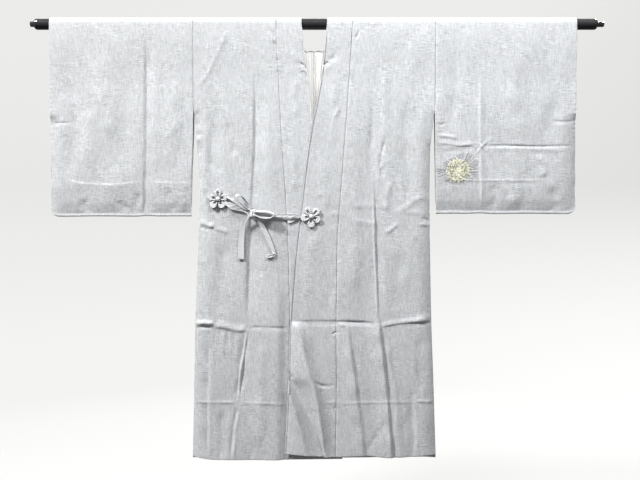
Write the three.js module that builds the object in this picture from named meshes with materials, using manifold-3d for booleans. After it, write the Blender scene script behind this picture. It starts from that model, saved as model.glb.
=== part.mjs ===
// Kimono coat of pale silver silk, hung flat by both sleeves on a black metal rod.
// Millimetres, +Z up. The front of the coat faces -Y, and the wearer's right side is at -X.
// The origin is on the rod's axis, below the middle of the coat's neck.
// "Drop" is how far a point of the cloth hangs below the rod's axis.
import * as THREE from "three";
import Module from "manifold-3d";
import { mergeVertices } from "three/addons/utils/BufferGeometryUtils.js";

const wasm = await Module();
wasm.setup();

const RIGHT = -1;
const LEFT = 1;
const FRONT = -1;
const BACK = 1;

// Rod
const ROD_RADIUS = 13.5;
const ROD_NECK_RADIUS = 6.75;
const ROD_CHAMFER = 3;
const ROD_ENDS = { neckFrom: -709, from: -698, to: 705, neckTo: 723 };
const ROD_SIDES = 24;

// Cloth: the walls are the silk and its lining together
const SEAM_GAP = 0.3;
const TIE_CLEARANCE = 0.35;
const BODY_WALL = 1.8;
const BAND_WALL = 2.2;
const LINING_WALL = 1;
const TAPE_WALL = 2.2;
const BODY_DEPTH = 8.5;
const SLEEVE_DEPTH = 7.5;
const SETTLE_DROP = 160;
const ARC_TURNS = [-72, -54, -36, -18, 0, 18, 36, 54, 72];

// Body
const HEM_DROP = 1080;
const HEM_BLEND_FROM = 950;
const ARMPIT_DROP = 212;
const SLIT_END_DROP = 307;
const SLIT_CLOSURE = 0.5;
const SIDE_CURL = 8;
const CREASE_SPREAD = 13;
const NECK_HALF_WIDTH = 95;
const NECK_DROP = 118;
const NECK_CORNER = 60;
const COLLAR_HALF_WIDTH = 31.5;
const COLLAR_DROP = 63;
const COLLAR_CORNER = 12;
const LEVEL_DROP = 420;
const LAP_LIFT = 2.7;

// Drops at which the front pieces have their rows, so that sewn edges match
const FRONT_DROPS = [0, 25, 60, 110, 160, 205, 226, 245, 275, 298, 312, 360, 430, 490, 503, 516, 580, 660];
const FOLD_DROPS = [724, 738, 750, 762, 840, 926, 942, 958, 1020, HEM_DROP];
// The same behind: turns of the neck's outline (see neckLine), then drops
const NECK_TURNS = [0, 0.5, 1, 1.2, 1.4, 1.6, 1.8, 2, 2.5, 3];
// Drops at the back's side edge that belong to the neck's turns 0, 1, 2 and 3 at a row's other end
const NECK_ROW_DROPS = [0, NECK_DROP - NECK_CORNER, 150, 190];
// Length of band that each turn of the neck's outline takes
const BAND_BACK_RUN = 58;
const BACK_DROPS = [208, 228, 248, 285, 312, LEVEL_DROP, 560, 726, 742, 758, 850, 926, 942, 958, HEM_DROP];

// Half widths of the body, from the middle of the coat to each side edge
const BODY_WIDTHS = [
  { drop: 0, right: 301, left: 301 },
  { drop: 212, right: 300.5, left: 300 },
  { drop: 240, right: 297, left: 297.5 },
  { drop: 307, right: 293, left: 290 },
  { drop: 432, right: 286, left: 288 },
  { drop: 510, right: 288.5, left: 288.5 },
  { drop: 744, right: 297, left: 292.5 },
  { drop: 854, right: 299, left: 296.5 },
  { drop: 1087, right: 303.5, left: 303.5 },
];

// Sewn edge and free edge of each front band, measured from the middle towards its own side
const BAND_LINES = [
  { drop: 0, rightSeam: 95, rightEdge: 31.5, leftSeam: 95, leftEdge: 31.5 },
  { drop: 65, rightSeam: 92.5, rightEdge: 25, leftSeam: 91, leftEdge: 26 },
  { drop: 130, rightSeam: 89, rightEdge: 17.5, leftSeam: 87, leftEdge: 18.5 },
  { drop: 190, rightSeam: 86.5, rightEdge: 11.5, leftSeam: 83, leftEdge: 8 },
  { drop: 250, rightSeam: 83, rightEdge: 5, leftSeam: 78.7, leftEdge: -4.5 },
  { drop: 330, rightSeam: 78, rightEdge: -10, leftSeam: 72.5, leftEdge: -17.5 },
  { drop: 440, rightSeam: 70.7, rightEdge: -24, leftSeam: 64.3, leftEdge: -31 },
  { drop: 540, rightSeam: 65.5, rightEdge: -37, leftSeam: 57, leftEdge: -43.8 },
  { drop: 650, rightSeam: 62.5, rightEdge: -47, leftSeam: 55.5, leftEdge: -54 },
  { drop: 765, rightSeam: 60.5, rightEdge: -56, leftSeam: 54, leftEdge: -61 },
  { drop: 900, rightSeam: 59.5, rightEdge: -62, leftSeam: 55, leftEdge: -64 },
  { drop: 1087, rightSeam: 58, rightEdge: -70, leftSeam: 52, leftEdge: -74 },
];

// Where the hem lies at each distance from the middle
const HEMS = {
  right: [{ across: 58, drop: 1085.5 }, { across: 250, drop: 1085.5 }, { across: 303, drop: 1079 }],
  left: [
    { across: -74, drop: 1070.5 },
    { across: -25, drop: 1072.5 },
    { across: 40, drop: 1078.5 },
    { across: 129, drop: 1077 },
    { across: 182, drop: 1081 },
    { across: 303, drop: 1075.5 },
  ],
  under: [{ across: -70, drop: 1084 }, { across: 58, drop: 1085.5 }],
  back: [{ across: 0, drop: 1087 }, { across: 303, drop: 1083 }],
};

// The long upright crease of each panel: its distance from the middle and how far it stands out
const UPRIGHT_CREASES = {
  rightFront: [
    { drop: 0, across: 146, height: 0 },
    { drop: 140, across: 148, height: 1.2 },
    { drop: 490, across: 157, height: 1.6 },
    { drop: 757, across: 161, height: 2.2 },
    { drop: 920, across: 189, height: 2.2 },
    { drop: 1087, across: 203, height: 2.6 },
  ],
  leftFront: [
    { drop: 0, across: 146, height: 0 },
    { drop: 300, across: 148, height: 0.8 },
    { drop: 530, across: 151, height: 1.6 },
    { drop: 745, across: 160, height: 2 },
    { drop: 920, across: 181, height: 2.2 },
    { drop: 1087, across: 190, height: 2.6 },
  ],
  rightBack: [
    { drop: 0, across: 150, height: 0 },
    { drop: 500, across: 156, height: 1.4 },
    { drop: 1087, across: 168, height: 2.2 },
  ],
  leftBack: [
    { drop: 0, across: 150, height: 0 },
    { drop: 500, across: 150, height: 1.6 },
    { drop: 1087, across: 176, height: 2 },
  ],
};

// Creases that run across the body where it was folded; they stand out by their height
const CROSS_CREASES = {
  rightFront: [
    { drop: 742, from: 64, to: 150, height: 1.2, spread: 14 },
    { drop: 738, from: 190, to: 292, height: 3.2, spread: 12 },
    { drop: 942, from: 70, to: 285, height: 1.4, spread: 12 },
    { drop: 503, from: 246, to: 282, height: 2.4, spread: 9 },
  ],
  leftFront: [
    { drop: 748, from: -50, to: 180, height: 2.2, spread: 12 },
    { drop: 738, from: 150, to: 288, height: 2.6, spread: 13 },
    { drop: 940, from: 60, to: 288, height: 1.5, spread: 12 },
    { drop: 492, from: 222, to: 282, height: 2.2, spread: 14 },
  ],
  rightBack: [
    { drop: 742, from: 20, to: 285, height: 2.4, spread: 13 },
    { drop: 942, from: 40, to: 280, height: 1.4, spread: 12 },
  ],
  leftBack: [
    { drop: 742, from: 20, to: 285, height: 2.2, spread: 13 },
    { drop: 942, from: 30, to: 270, height: 1.5, spread: 12 },
  ],
};

// Sleeves
const CUFF_CURL = 8;
const BOTTOM_CURL = 8;
const SLEEVE_CORNER = 22;
const CUFF_BLEND = 24;
const SLEEVE_CREASE_HEIGHT = 1.8;
const SLEEVES = {
  right: { cuffAt: 658, bottom: 480.5, cuffOpening: 249, freeEdge: 307, creaseAt: 417, creaseFrom: 140 },
  left: { cuffAt: 652, bottom: 474, cuffOpening: 244, freeEdge: 303, creaseAt: 414, creaseFrom: 170 },
};
const SLEEVE_CREASES = {
  rightFront: [{ drop: 402, from: 320, to: 560, height: 1.8, spread: 12 }],
  leftFront: [
    { drop: 306, from: 396, to: 640, height: 3.2, spread: 11 },
    { drop: 390, from: 312, to: 580, height: 1.8, spread: 11 },
  ],
  rightBack: [{ drop: 396, from: 320, to: 600, height: 1.8, spread: 12 }],
  leftBack: [{ drop: 312, from: 330, to: 610, height: 2.2, spread: 12 }],
};

// Neck lining
const LINING_FROM = 66.5;
const LINING_TO = 276;
const LINING_HALF_WIDTH = 78;

// Rosettes: a petal's turn is measured anticlockwise from +X as seen from the front
const ROSETTE_VALLEY = 11.5;
const ROSETTE_KNOB = 6.2;
const ROSETTE_CROWN = 0.6;
const ROSETTE_RINGS = [
  { share: 0.2, height: 10.2, dimple: 0 },
  { share: 0.3, height: 8.6, dimple: 0 },
  { share: 0.42, height: 4.6, dimple: 0.3 },
  { share: 0.68, height: 7.2, dimple: 2.4 },
  { share: 0.88, height: 7, dimple: 1.4 },
  { share: 1, height: 3.2, dimple: 0 },
];
const ROSETTES = {
  rosette_right: {
    across: -239,
    drop: 438,
    proud: BODY_WALL / 2,
    petals: [
      { turn: 15, reach: 25 },
      { turn: 90, reach: 26 },
      { turn: 165, reach: 26.5 },
      { turn: 230, reach: 27 },
      { turn: 303, reach: 26 },
    ],
  },
  rosette_left: {
    across: -7,
    drop: 481.5,
    proud: LAP_LIFT + BAND_WALL / 2,
    petals: [
      { turn: -27, reach: 25 },
      { turn: 45, reach: 27 },
      { turn: 125, reach: 26 },
      { turn: 190, reach: 27.5 },
      { turn: 268, reach: 28 },
    ],
  },
};

// Ties: "proud" is the distance of the tape's middle line from the right front's surface, and
// "lean" turns the tape from flat on the coat (0) to standing on its edge (90)
const KNOT = { across: -150.8, drop: 474, proud: 11.5, halfWidth: 8.5, halfHeight: 11, halfDepth: 8 };
const TAPES = {
  tie_right_upper: [
    { across: -222, drop: 431, proud: 4.5, width: 7, lean: 10 },
    { across: -212, drop: 434, proud: 5.6, width: 7, lean: 14 },
    { across: -195, drop: 444.5, proud: 7, width: 9, lean: 10 },
    { across: -178, drop: 456.5, proud: 8, width: 9, lean: 0 },
    { across: -156, drop: 468, proud: 9, width: 8, lean: 0 },
  ],
  tie_right_lower: [
    { across: -224, drop: 446.5, proud: 3.4, width: 9, lean: 0 },
    { across: -214, drop: 451, proud: 4.2, width: 11, lean: 0 },
    { across: -203, drop: 456.5, proud: 4.8, width: 16, lean: -6 },
    { across: -187, drop: 461, proud: 5.2, width: 13, lean: -8 },
    { across: -171, drop: 467.5, proud: 4.9, width: 8, lean: 0 },
    { across: -157, drop: 476.5, proud: 7, width: 7, lean: 0 },
  ],
  bow_loop_right: [
    { across: -155, drop: 463.5, proud: 13.5, width: 9, lean: 20 },
    { across: -163.5, drop: 450.5, proud: 15, width: 14, lean: 12 },
    { across: -174, drop: 437.5, proud: 18, width: 15, lean: 14 },
    { across: -184.5, drop: 430, proud: 20.5, width: 14, lean: 38 },
    { across: -192, drop: 431.5, proud: 21.5, width: 12, lean: 72 },
    { across: -185.5, drop: 441.5, proud: 21, width: 9, lean: 80 },
    { across: -169.5, drop: 457, proud: 19, width: 8, lean: 80 },
    { across: -159.5, drop: 464.5, proud: 17.5, width: 8, lean: 78 },
  ],
  bow_loop_left: [
    { across: -147, drop: 469, proud: 15.5, width: 9, lean: 50 },
    { across: -128, drop: 470.5, proud: 16.5, width: 12, lean: 58 },
    { across: -108, drop: 473, proud: 17, width: 12, lean: 60 },
    { across: -98.5, drop: 478, proud: 17, width: 12, lean: 66 },
    { across: -108, drop: 482.5, proud: 17, width: 11, lean: 76 },
    { across: -128, drop: 482.5, proud: 16.5, width: 10, lean: 72 },
    { across: -146, drop: 477, proud: 15.5, width: 8, lean: 68 },
  ],
  tie_left: [
    { across: -24, drop: 483.5, proud: 6.6, width: 7, lean: 0 },
    { across: -36, drop: 481, proud: 7.6, width: 7, lean: 8 },
    { across: -60, drop: 478.5, proud: 8, width: 9, lean: 6 },
    { across: -90, drop: 478, proud: 7, width: 10, lean: 4 },
    { across: -120, drop: 476.5, proud: 6.6, width: 10, lean: 0 },
    { across: -146, drop: 475, proud: 9, width: 8, lean: 0 },
  ],
  tie_left_under: [
    { across: -37.9, drop: 485.5, proud: 1.9, width: 6, lean: 0 },
    { across: -44, drop: 485.5, proud: 2, width: 8, lean: 0 },
    { across: -54, drop: 489.5, proud: 2.8, width: 10, lean: 8 },
    { across: -66, drop: 495, proud: 3, width: 8, lean: -10 },
  ],
  bow_tail_right: [
    { across: -155, drop: 471, proud: 14, width: 8, lean: 0 },
    { across: -163, drop: 480, proud: 12.5, width: 9.5, lean: 0 },
    { across: -171, drop: 491, proud: 9.5, width: 11, lean: 0 },
    { across: -176.5, drop: 505, proud: 6.5, width: 13, lean: 0 },
    { across: -180, drop: 528, proud: 4.2, width: 14.5, lean: 0 },
    { across: -181.5, drop: 587.5, proud: 3, width: 15, lean: 0 },
  ],
  bow_tail_left: [
    { across: -147, drop: 481, proud: 11, width: 7, lean: 0 },
    { across: -134.5, drop: 496, proud: 8, width: 11.5, lean: 8 },
    { across: -117, drop: 529, proud: 6, width: 12.5, lean: 12 },
    { across: -101.5, drop: 567, proud: 4.6, width: 11, lean: 14 },
    { across: -98.5, drop: 574, proud: 4.6, width: 9, lean: 40 },
    { across: -103.5, drop: 578, proud: 5.6, width: 8, lean: 10 },
    { across: -119, drop: 580, proud: 6, width: 8.5, lean: 0 },
  ],
};
const TAPE_STEPS_PER_POINT = 3;

const silk = new THREE.MeshStandardMaterial({ color: 0xc6c9cd, roughness: 0.62, metalness: 0 });
const lining = new THREE.MeshStandardMaterial({ color: 0xe4e1d9, roughness: 0.7, metalness: 0 });
const blackPaint = new THREE.MeshStandardMaterial({ color: 0x17181a, roughness: 0.32, metalness: 0.3 });

// ---------------------------------------------------------------- helpers

const clamp01 = (value) => Math.min(1, Math.max(0, value));
const lerp = (from, to, share) => from + (to - from) * share;
const nameOf = (side) => (side === RIGHT ? "right" : "left");
const panelOf = (side, face) => nameOf(side) + (face === FRONT ? "Front" : "Back");
const degrees = (angle) => (angle * Math.PI) / 180;

function smooth(value) {
  const share = clamp01(value);
  return share * share * (3 - 2 * share);
}

// Smooth value of one column of a table, read at a value of its key column
function along(table, key, column, at) {
  const last = table.length - 1;
  const position = Math.min(table[last][key], Math.max(table[0][key], at));
  let index = 0;
  while (index < last - 1 && position > table[index + 1][key]) index += 1;
  const slopeAt = (row) => {
    const before = table[Math.max(0, row - 1)];
    const after = table[Math.min(last, row + 1)];
    return (after[column] - before[column]) / (after[key] - before[key]);
  };
  const low = table[index];
  const high = table[index + 1];
  const span = high[key] - low[key];
  const t = (position - low[key]) / span;
  const startSlope = (t ** 3 - 2 * t ** 2 + t) * span * slopeAt(index);
  const endSlope = (t ** 3 - t ** 2) * span * slopeAt(index + 1);
  return lerp(low[column], high[column], 3 * t ** 2 - 2 * t ** 3) + startSlope + endSlope;
}

function meshFrom(points, triangles) {
  let volume = 0;
  for (const [a, b, c] of triangles) {
    volume += points[a].dot(new THREE.Vector3().crossVectors(points[b], points[c]));
  }
  const faces = volume < 0 ? triangles.map(([a, b, c]) => [a, c, b]) : triangles;
  const geometry = new THREE.BufferGeometry();
  const numbers = points.flatMap((point) => [point.x, point.y, point.z]);
  geometry.setAttribute("position", new THREE.Float32BufferAttribute(numbers, 3));
  geometry.setIndex(faces.flat());
  geometry.computeVertexNormals();
  return geometry;
}

// A wall of even thickness on both sides of a surface, with flat edges
function wall(surface, rows, columns, thickness) {
  const step = 1e-3;
  const normalAt = (row, column) => {
    const alongRow = surface(row, column + step).sub(surface(row, column - step));
    const alongColumn = surface(row + step, column).sub(surface(row - step, column));
    return new THREE.Vector3().crossVectors(alongRow, alongColumn);
  };
  const inward = (value, list) => lerp(value, (list[0] + list[list.length - 1]) / 2, 1e-4);
  const points = [];
  for (const side of [1, -1]) {
    for (const row of rows) {
      for (const column of columns) {
        let normal = normalAt(row, column);
        if (normal.length() < 1e-9) normal = normalAt(inward(row, rows), inward(column, columns));
        points.push(surface(row, column).addScaledVector(normal.normalize(), (side * thickness) / 2));
      }
    }
  }
  const across = columns.length;
  const layer = rows.length * across;
  const triangles = [];
  const quad = (a, b, c, d) => triangles.push([a, b, c], [a, c, d]);
  for (let r = 0; r < rows.length - 1; r += 1) {
    for (let c = 0; c < across - 1; c += 1) {
      const at = r * across + c;
      quad(at, at + 1, at + across + 1, at + across);
      quad(layer + at, layer + at + across, layer + at + across + 1, layer + at + 1);
    }
  }
  const border = [];
  for (let c = 0; c < across - 1; c += 1) border.push(c);
  for (let r = 0; r < rows.length - 1; r += 1) border.push(r * across + across - 1);
  for (let c = across - 1; c > 0; c -= 1) border.push((rows.length - 1) * across + c);
  for (let r = rows.length - 1; r > 0; r -= 1) border.push(r * across);
  border.forEach((at, index) => {
    const next = border[(index + 1) % border.length];
    quad(next, at, layer + at, layer + next);
  });
  return meshFrom(points, triangles);
}

function solidOf(geometry) {
  const plain = geometry.clone();
  plain.deleteAttribute("normal");
  plain.deleteAttribute("uv");
  const merged = mergeVertices(plain, 1e-4);
  return new wasm.Manifold(
    new wasm.Mesh({
      numProp: 3,
      vertProperties: new Float32Array(merged.attributes.position.array),
      triVerts: new Uint32Array(merged.index.array),
    }),
  );
}

// The geometry with each cutter's space taken out of it
function cutAway(geometry, cutters) {
  const solid = cutters.reduce((left, cutter) => left.subtract(solidOf(cutter)), solidOf(geometry));
  const cut = solid.getMesh();
  const result = new THREE.BufferGeometry();
  result.setAttribute("position", new THREE.BufferAttribute(new Float32Array(cut.vertProperties), 3));
  result.setIndex(new THREE.BufferAttribute(new Uint32Array(cut.triVerts), 1));
  result.computeVertexNormals();
  return result;
}

// ---------------------------------------------------------------- how the cloth hangs

// Distance of a wall's middle from the coat's middle plane, from the rod down
function layerDepth(drop, radius, settled) {
  return lerp(radius, settled, smooth(drop / SETTLE_DROP));
}

// Run is the length along the cloth from the top of the rod, negative down the front
function overRod(run, thickness) {
  const radius = ROD_RADIUS + SEAM_GAP + thickness / 2;
  const quarter = (radius * Math.PI) / 2;
  const face = run < 0 ? FRONT : BACK;
  const drop = Math.max(0, Math.abs(run) - quarter);
  const turn = Math.min(quarter, Math.abs(run)) / radius;
  return { face, drop, radius, y: face * radius * Math.sin(turn), z: radius * Math.cos(turn) };
}

const quarterRun = (thickness) => ((ROD_RADIUS + SEAM_GAP + thickness / 2) * Math.PI) / 2;

// Runs for drops down the front, the turns over the rod, and drops down the back
function runs(frontDrops, backDrops, thickness) {
  const quarter = quarterRun(thickness);
  const front = frontDrops.map((drop) => -(quarter + drop));
  const turns = ARC_TURNS.map((turn) => (quarter * turn) / 90);
  const back = backDrops.map((drop) => quarter + drop);
  return [...front, ...turns, ...back];
}

function ridge(distance, spread) {
  const share = Math.abs(distance) / spread;
  return share >= 1 ? 0 : 0.5 + 0.5 * Math.cos(Math.PI * share);
}

function crossRidges(table, across, drop) {
  let height = 0;
  for (const crease of table) {
    const fade = smooth((across - crease.from) / 25) * smooth((crease.to - across) / 25);
    height += crease.height * fade * ridge(drop - crease.drop, crease.spread);
  }
  return height;
}

function hemShift(table, across, drop) {
  const hem = along(table, "across", "drop", across);
  return (hem - HEM_DROP) * smooth((drop - HEM_BLEND_FROM) / (HEM_DROP - HEM_BLEND_FROM));
}

// The left front lies over the right band, and comes back to the common surface beside it
function lapLift(across, drop) {
  return LAP_LIFT * smooth((drop - 60) / 140) * (1 - smooth((across - 82) / 70));
}

// ---------------------------------------------------------------- body

const halfWidth = (side, drop) => along(BODY_WIDTHS, "drop", nameOf(side), drop);

function sideClosure(drop) {
  const slit = SLIT_CLOSURE * smooth((drop - ARMPIT_DROP) / 28);
  return slit + (1 - SLIT_CLOSURE) * smooth((drop - SLIT_END_DROP + 20) / 25);
}

// The neck's rounded outline behind: the turn runs 0..1 down the side, 1..2 round the corner, 2..3 across
function neckLine(turn, halfSpan, depth, corner, shortfall) {
  const straight = depth - corner;
  if (turn <= 1) return { across: halfSpan, drop: straight * turn };
  if (turn <= 2) {
    const angle = ((turn - 1) * Math.PI) / 2;
    return {
      across: halfSpan - corner + corner * Math.cos(angle),
      drop: straight + corner * Math.sin(angle),
    };
  }
  return { across: lerp(halfSpan - corner, shortfall, turn - 2), drop: depth };
}

function neckRowDrop(turn) {
  const index = Math.min(2, Math.floor(turn));
  return lerp(NECK_ROW_DROPS[index], NECK_ROW_DROPS[index + 1], turn - index);
}

// Inner border of a back panel: round the neck and then down the centre-back seam
function backBorder(drop) {
  const centreAt = NECK_ROW_DROPS[3];
  if (drop <= centreAt) {
    const index = NECK_ROW_DROPS.findLastIndex((start) => start < centreAt && start <= drop);
    const turn = index + (drop - NECK_ROW_DROPS[index]) / (NECK_ROW_DROPS[index + 1] - NECK_ROW_DROPS[index]);
    const depth = NECK_DROP + SEAM_GAP;
    return neckLine(turn, NECK_HALF_WIDTH + SEAM_GAP, depth, NECK_CORNER + SEAM_GAP, SEAM_GAP / 2);
  }
  const level = clamp01((drop - centreAt) / (LEVEL_DROP - centreAt));
  const settled = lerp(NECK_DROP + SEAM_GAP, Math.max(drop, LEVEL_DROP), level);
  return { across: SEAM_GAP / 2, drop: settled };
}

// Columns: 0..1 round the side's curl, 1..2 to the upright crease, 2..3 across it, 3..4 to the border
function bodySurface(side) {
  return (run, column) => {
    const { face, drop, radius, y, z } = overRod(run, BODY_WALL);
    const edge = halfWidth(side, drop);
    const closure = sideClosure(drop);
    const crease = UPRIGHT_CREASES[panelOf(side, face)];
    const creaseAt = along(crease, "drop", "across", drop);
    const seam = along(BAND_LINES, "drop", nameOf(side) + "Seam", drop) + SEAM_GAP;
    const border = face === FRONT ? { across: seam, drop } : backBorder(drop);
    const curlTurn = (Math.min(column, 1) * Math.PI) / 2;
    const curlShare = lerp(column, 1 - Math.cos(curlTurn), closure);
    let across = edge - SIDE_CURL * curlShare;
    if (column > 1) across = lerp(edge - SIDE_CURL, creaseAt + CREASE_SPREAD, column - 1);
    if (column > 2) across = lerp(creaseAt + CREASE_SPREAD, creaseAt - CREASE_SPREAD, column - 2);
    if (column > 3) across = lerp(creaseAt - CREASE_SPREAD, border.across, column - 3);
    const reach = clamp01((edge - across) / (edge - border.across));
    const hang = drop > 0 ? lerp(drop, border.drop, reach) : 0;
    if (drop === 0) return new THREE.Vector3(side * across, y, z);
    const curl = column < 1 ? 1 - closure * (1 - Math.sin(curlTurn)) : 1;
    let depth = SEAM_GAP / 2 + (layerDepth(hang, radius, BODY_DEPTH) - SEAM_GAP / 2) * curl;
    depth += ridge(across - creaseAt, CREASE_SPREAD) * along(crease, "drop", "height", hang);
    depth += crossRidges(CROSS_CREASES[panelOf(side, face)], across, hang);
    if (face === FRONT && side === LEFT) depth += lapLift(across, hang);
    const hem = face === FRONT ? HEMS[nameOf(side)] : HEMS.back;
    return new THREE.Vector3(side * across, face * depth, -(hang + hemShift(hem, across, hang)));
  };
}

function bodyPanel(side) {
  const columns = [0, 0.35, 0.7, 1, 1.5, 2, 2.5, 3, 3.5, 4];
  const frontDrops = [...FRONT_DROPS, ...FOLD_DROPS].reverse();
  const backDrops = [...NECK_TURNS.map(neckRowDrop), ...BACK_DROPS];
  return wall(bodySurface(side), runs(frontDrops, backDrops, BODY_WALL), columns, BODY_WALL);
}

// ---------------------------------------------------------------- bands and collar

// Columns run from the sewn edge (0) to the free edge (1)
function bandSurface(side) {
  return (run, column) => {
    const { face, drop, radius, y, z } = overRod(run, BAND_WALL);
    const lines = (name) => along(BAND_LINES, "drop", nameOf(side) + name, drop);
    if (drop === 0) return new THREE.Vector3(side * lerp(lines("Seam"), lines("Edge"), column), y, z);
    if (face === BACK) {
      const turn = drop / BAND_BACK_RUN;
      const outer = neckLine(turn, NECK_HALF_WIDTH, NECK_DROP, NECK_CORNER, SEAM_GAP / 2);
      const inner = neckLine(turn, COLLAR_HALF_WIDTH, COLLAR_DROP, COLLAR_CORNER, SEAM_GAP / 2);
      const across = lerp(outer.across, inner.across, column);
      const hang = lerp(outer.drop, inner.drop, column);
      return new THREE.Vector3(side * across, layerDepth(hang, radius, BODY_DEPTH), -hang);
    }
    const across = lerp(lines("Seam"), lines("Edge"), column);
    let depth = layerDepth(drop, radius, BODY_DEPTH);
    if (side === LEFT) depth += lapLift(across, drop) + crossRidges(CROSS_CREASES.leftFront, across, drop);
    const hem = side === LEFT ? HEMS.left : HEMS.under;
    return new THREE.Vector3(side * across, -depth, -(drop + hemShift(hem, across, drop)));
  };
}

function band(side) {
  const frontDrops = [...FRONT_DROPS, ...FOLD_DROPS].reverse();
  const backDrops = NECK_TURNS.map((turn) => turn * BAND_BACK_RUN);
  return wall(bandSurface(side), runs(frontDrops, backDrops, BAND_WALL), [0, 0.33, 0.67, 1], BAND_WALL);
}

// The white lining that shows in the neck, lying on the inside of the back and its collar
function neckLining() {
  const radius = ROD_RADIUS + SEAM_GAP + BAND_WALL / 2;
  const inset = BAND_WALL / 2 + SEAM_GAP + LINING_WALL / 2;
  const surface = (drop, across) =>
    new THREE.Vector3(across, layerDepth(drop, radius, BODY_DEPTH) - inset, -drop);
  const rows = [LINING_FROM, 85, 105, 125, 150, 190, 235, LINING_TO];
  const columns = [-1, -0.5, 0, 0.5, 1].map((share) => share * LINING_HALF_WIDTH);
  return wall(surface, rows, columns, LINING_WALL);
}

// ---------------------------------------------------------------- sleeves

// Columns: 0..1 from the armhole to the upright crease, 1..2 across it, 2..3 to the cuff's curl,
// 3..4 round the curl
function sleeveSurface(side) {
  const sizes = SLEEVES[nameOf(side)];
  const quarter = quarterRun(BODY_WALL);
  const curlRun = (BOTTOM_CURL * Math.PI) / 2;
  const fullRun = quarter + sizes.bottom - BOTTOM_CURL + curlRun;
  return (run, column) => {
    const { face, drop: straightDrop, radius, y, z } = overRod(run, BODY_WALL);
    const left = fullRun - Math.abs(run);
    const bottomTurn = Math.min(left / BOTTOM_CURL, Math.PI / 2);
    const drop = left < curlRun ? sizes.bottom - BOTTOM_CURL * (1 - Math.cos(bottomTurn)) : straightDrop;
    const armhole = halfWidth(side, Math.min(drop, ARMPIT_DROP)) + SEAM_GAP;
    const share = smooth((drop - ARMPIT_DROP) / (sizes.bottom - ARMPIT_DROP));
    const inner = lerp(armhole, sizes.freeEdge, share);
    const closure = smooth((drop - sizes.cuffOpening + CUFF_BLEND) / CUFF_BLEND);
    const curlTurn = ((4 - Math.max(column, 3)) * Math.PI) / 2;
    let across = lerp(inner, sizes.creaseAt - CREASE_SPREAD, column);
    if (column > 1) across = sizes.creaseAt + CREASE_SPREAD * (2 * (column - 1) - 1);
    if (column > 2) across = lerp(sizes.creaseAt + CREASE_SPREAD, sizes.cuffAt - CUFF_CURL, column - 2);
    if (column > 3) across = sizes.cuffAt - CUFF_CURL * lerp(4 - column, 1 - Math.cos(curlTurn), closure);
    if (straightDrop === 0) return new THREE.Vector3(side * across, y, z);
    const cuffLift = column > 3 ? 1 - closure * (1 - Math.sin(curlTurn)) : 1;
    const bottomLift = left < curlRun ? Math.sin(bottomTurn) : 1;
    const settled = lerp(BODY_DEPTH, SLEEVE_DEPTH, smooth((drop - ARMPIT_DROP) / 120));
    let depth = layerDepth(drop, radius, settled) - SEAM_GAP / 2;
    depth = SEAM_GAP / 2 + depth * cuffLift * bottomLift;
    const creaseShare = smooth((drop - sizes.creaseFrom) / 80);
    const upright = SLEEVE_CREASE_HEIGHT * creaseShare * ridge(across - sizes.creaseAt, CREASE_SPREAD);
    depth += (upright + crossRidges(SLEEVE_CREASES[panelOf(side, face)], across, drop)) * bottomLift;
    const corner = roundCorner(sizes.cuffAt - across, sizes.bottom - drop);
    const x = side * (sizes.cuffAt - corner.fromCuff);
    return new THREE.Vector3(x, face * depth, corner.fromBottom - sizes.bottom);
  };
}

// Moves a point near the sleeve's lower outer corner so that the corner is round
function roundCorner(fromCuff, fromBottom) {
  if (fromCuff >= SLEEVE_CORNER || fromBottom >= SLEEVE_CORNER) return { fromCuff, fromBottom };
  const p = 1 - fromCuff / SLEEVE_CORNER;
  const q = 1 - fromBottom / SLEEVE_CORNER;
  return {
    fromCuff: SLEEVE_CORNER * (1 - p * Math.sqrt(1 - (q * q) / 2)),
    fromBottom: SLEEVE_CORNER * (1 - q * Math.sqrt(1 - (p * p) / 2)),
  };
}

function sleeve(side) {
  const sizes = SLEEVES[nameOf(side)];
  const curlRun = (BOTTOM_CURL * Math.PI) / 2;
  const straight = sizes.bottom - BOTTOM_CURL;
  const curlDrops = [1, 0.67, 0.33, 0].map((share) => straight + curlRun * share);
  const creaseDrops = side === RIGHT ? [390, 402, 414] : [295, 306, 317, 379, 390, 401];
  const drops = [0, 25, 60, 110, 160, 205, 226, sizes.cuffOpening, 345, ...creaseDrops, 440];
  const ordered = [...drops, straight - 12].sort((first, second) => second - first);
  const frontRows = [...curlDrops, ...ordered];
  const columns = [0, 0.5, 1, 1.5, 2, 2.5, 2.9, 3, 3.35, 3.7, 4];
  const rows = runs(frontRows, [...frontRows].reverse(), BODY_WALL);
  return wall(sleeveSurface(side), rows, columns, BODY_WALL);
}

// ---------------------------------------------------------------- rod, rosettes and ties

function rod() {
  const { neckFrom, from, to, neckTo } = ROD_ENDS;
  const profile = [
    [0, neckFrom],
    [ROD_NECK_RADIUS, neckFrom],
    [ROD_NECK_RADIUS, from],
    [ROD_RADIUS - ROD_CHAMFER, from],
    [ROD_RADIUS, from + ROD_CHAMFER],
    [ROD_RADIUS, to - ROD_CHAMFER],
    [ROD_RADIUS - ROD_CHAMFER, to],
    [ROD_NECK_RADIUS, to],
    [ROD_NECK_RADIUS, neckTo],
    [0, neckTo],
  ].map(([radius, length]) => new THREE.Vector2(radius, length));
  const geometry = new THREE.LatheGeometry(profile, ROD_SIDES);
  geometry.rotateZ(-Math.PI / 2);
  return geometry;
}

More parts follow.
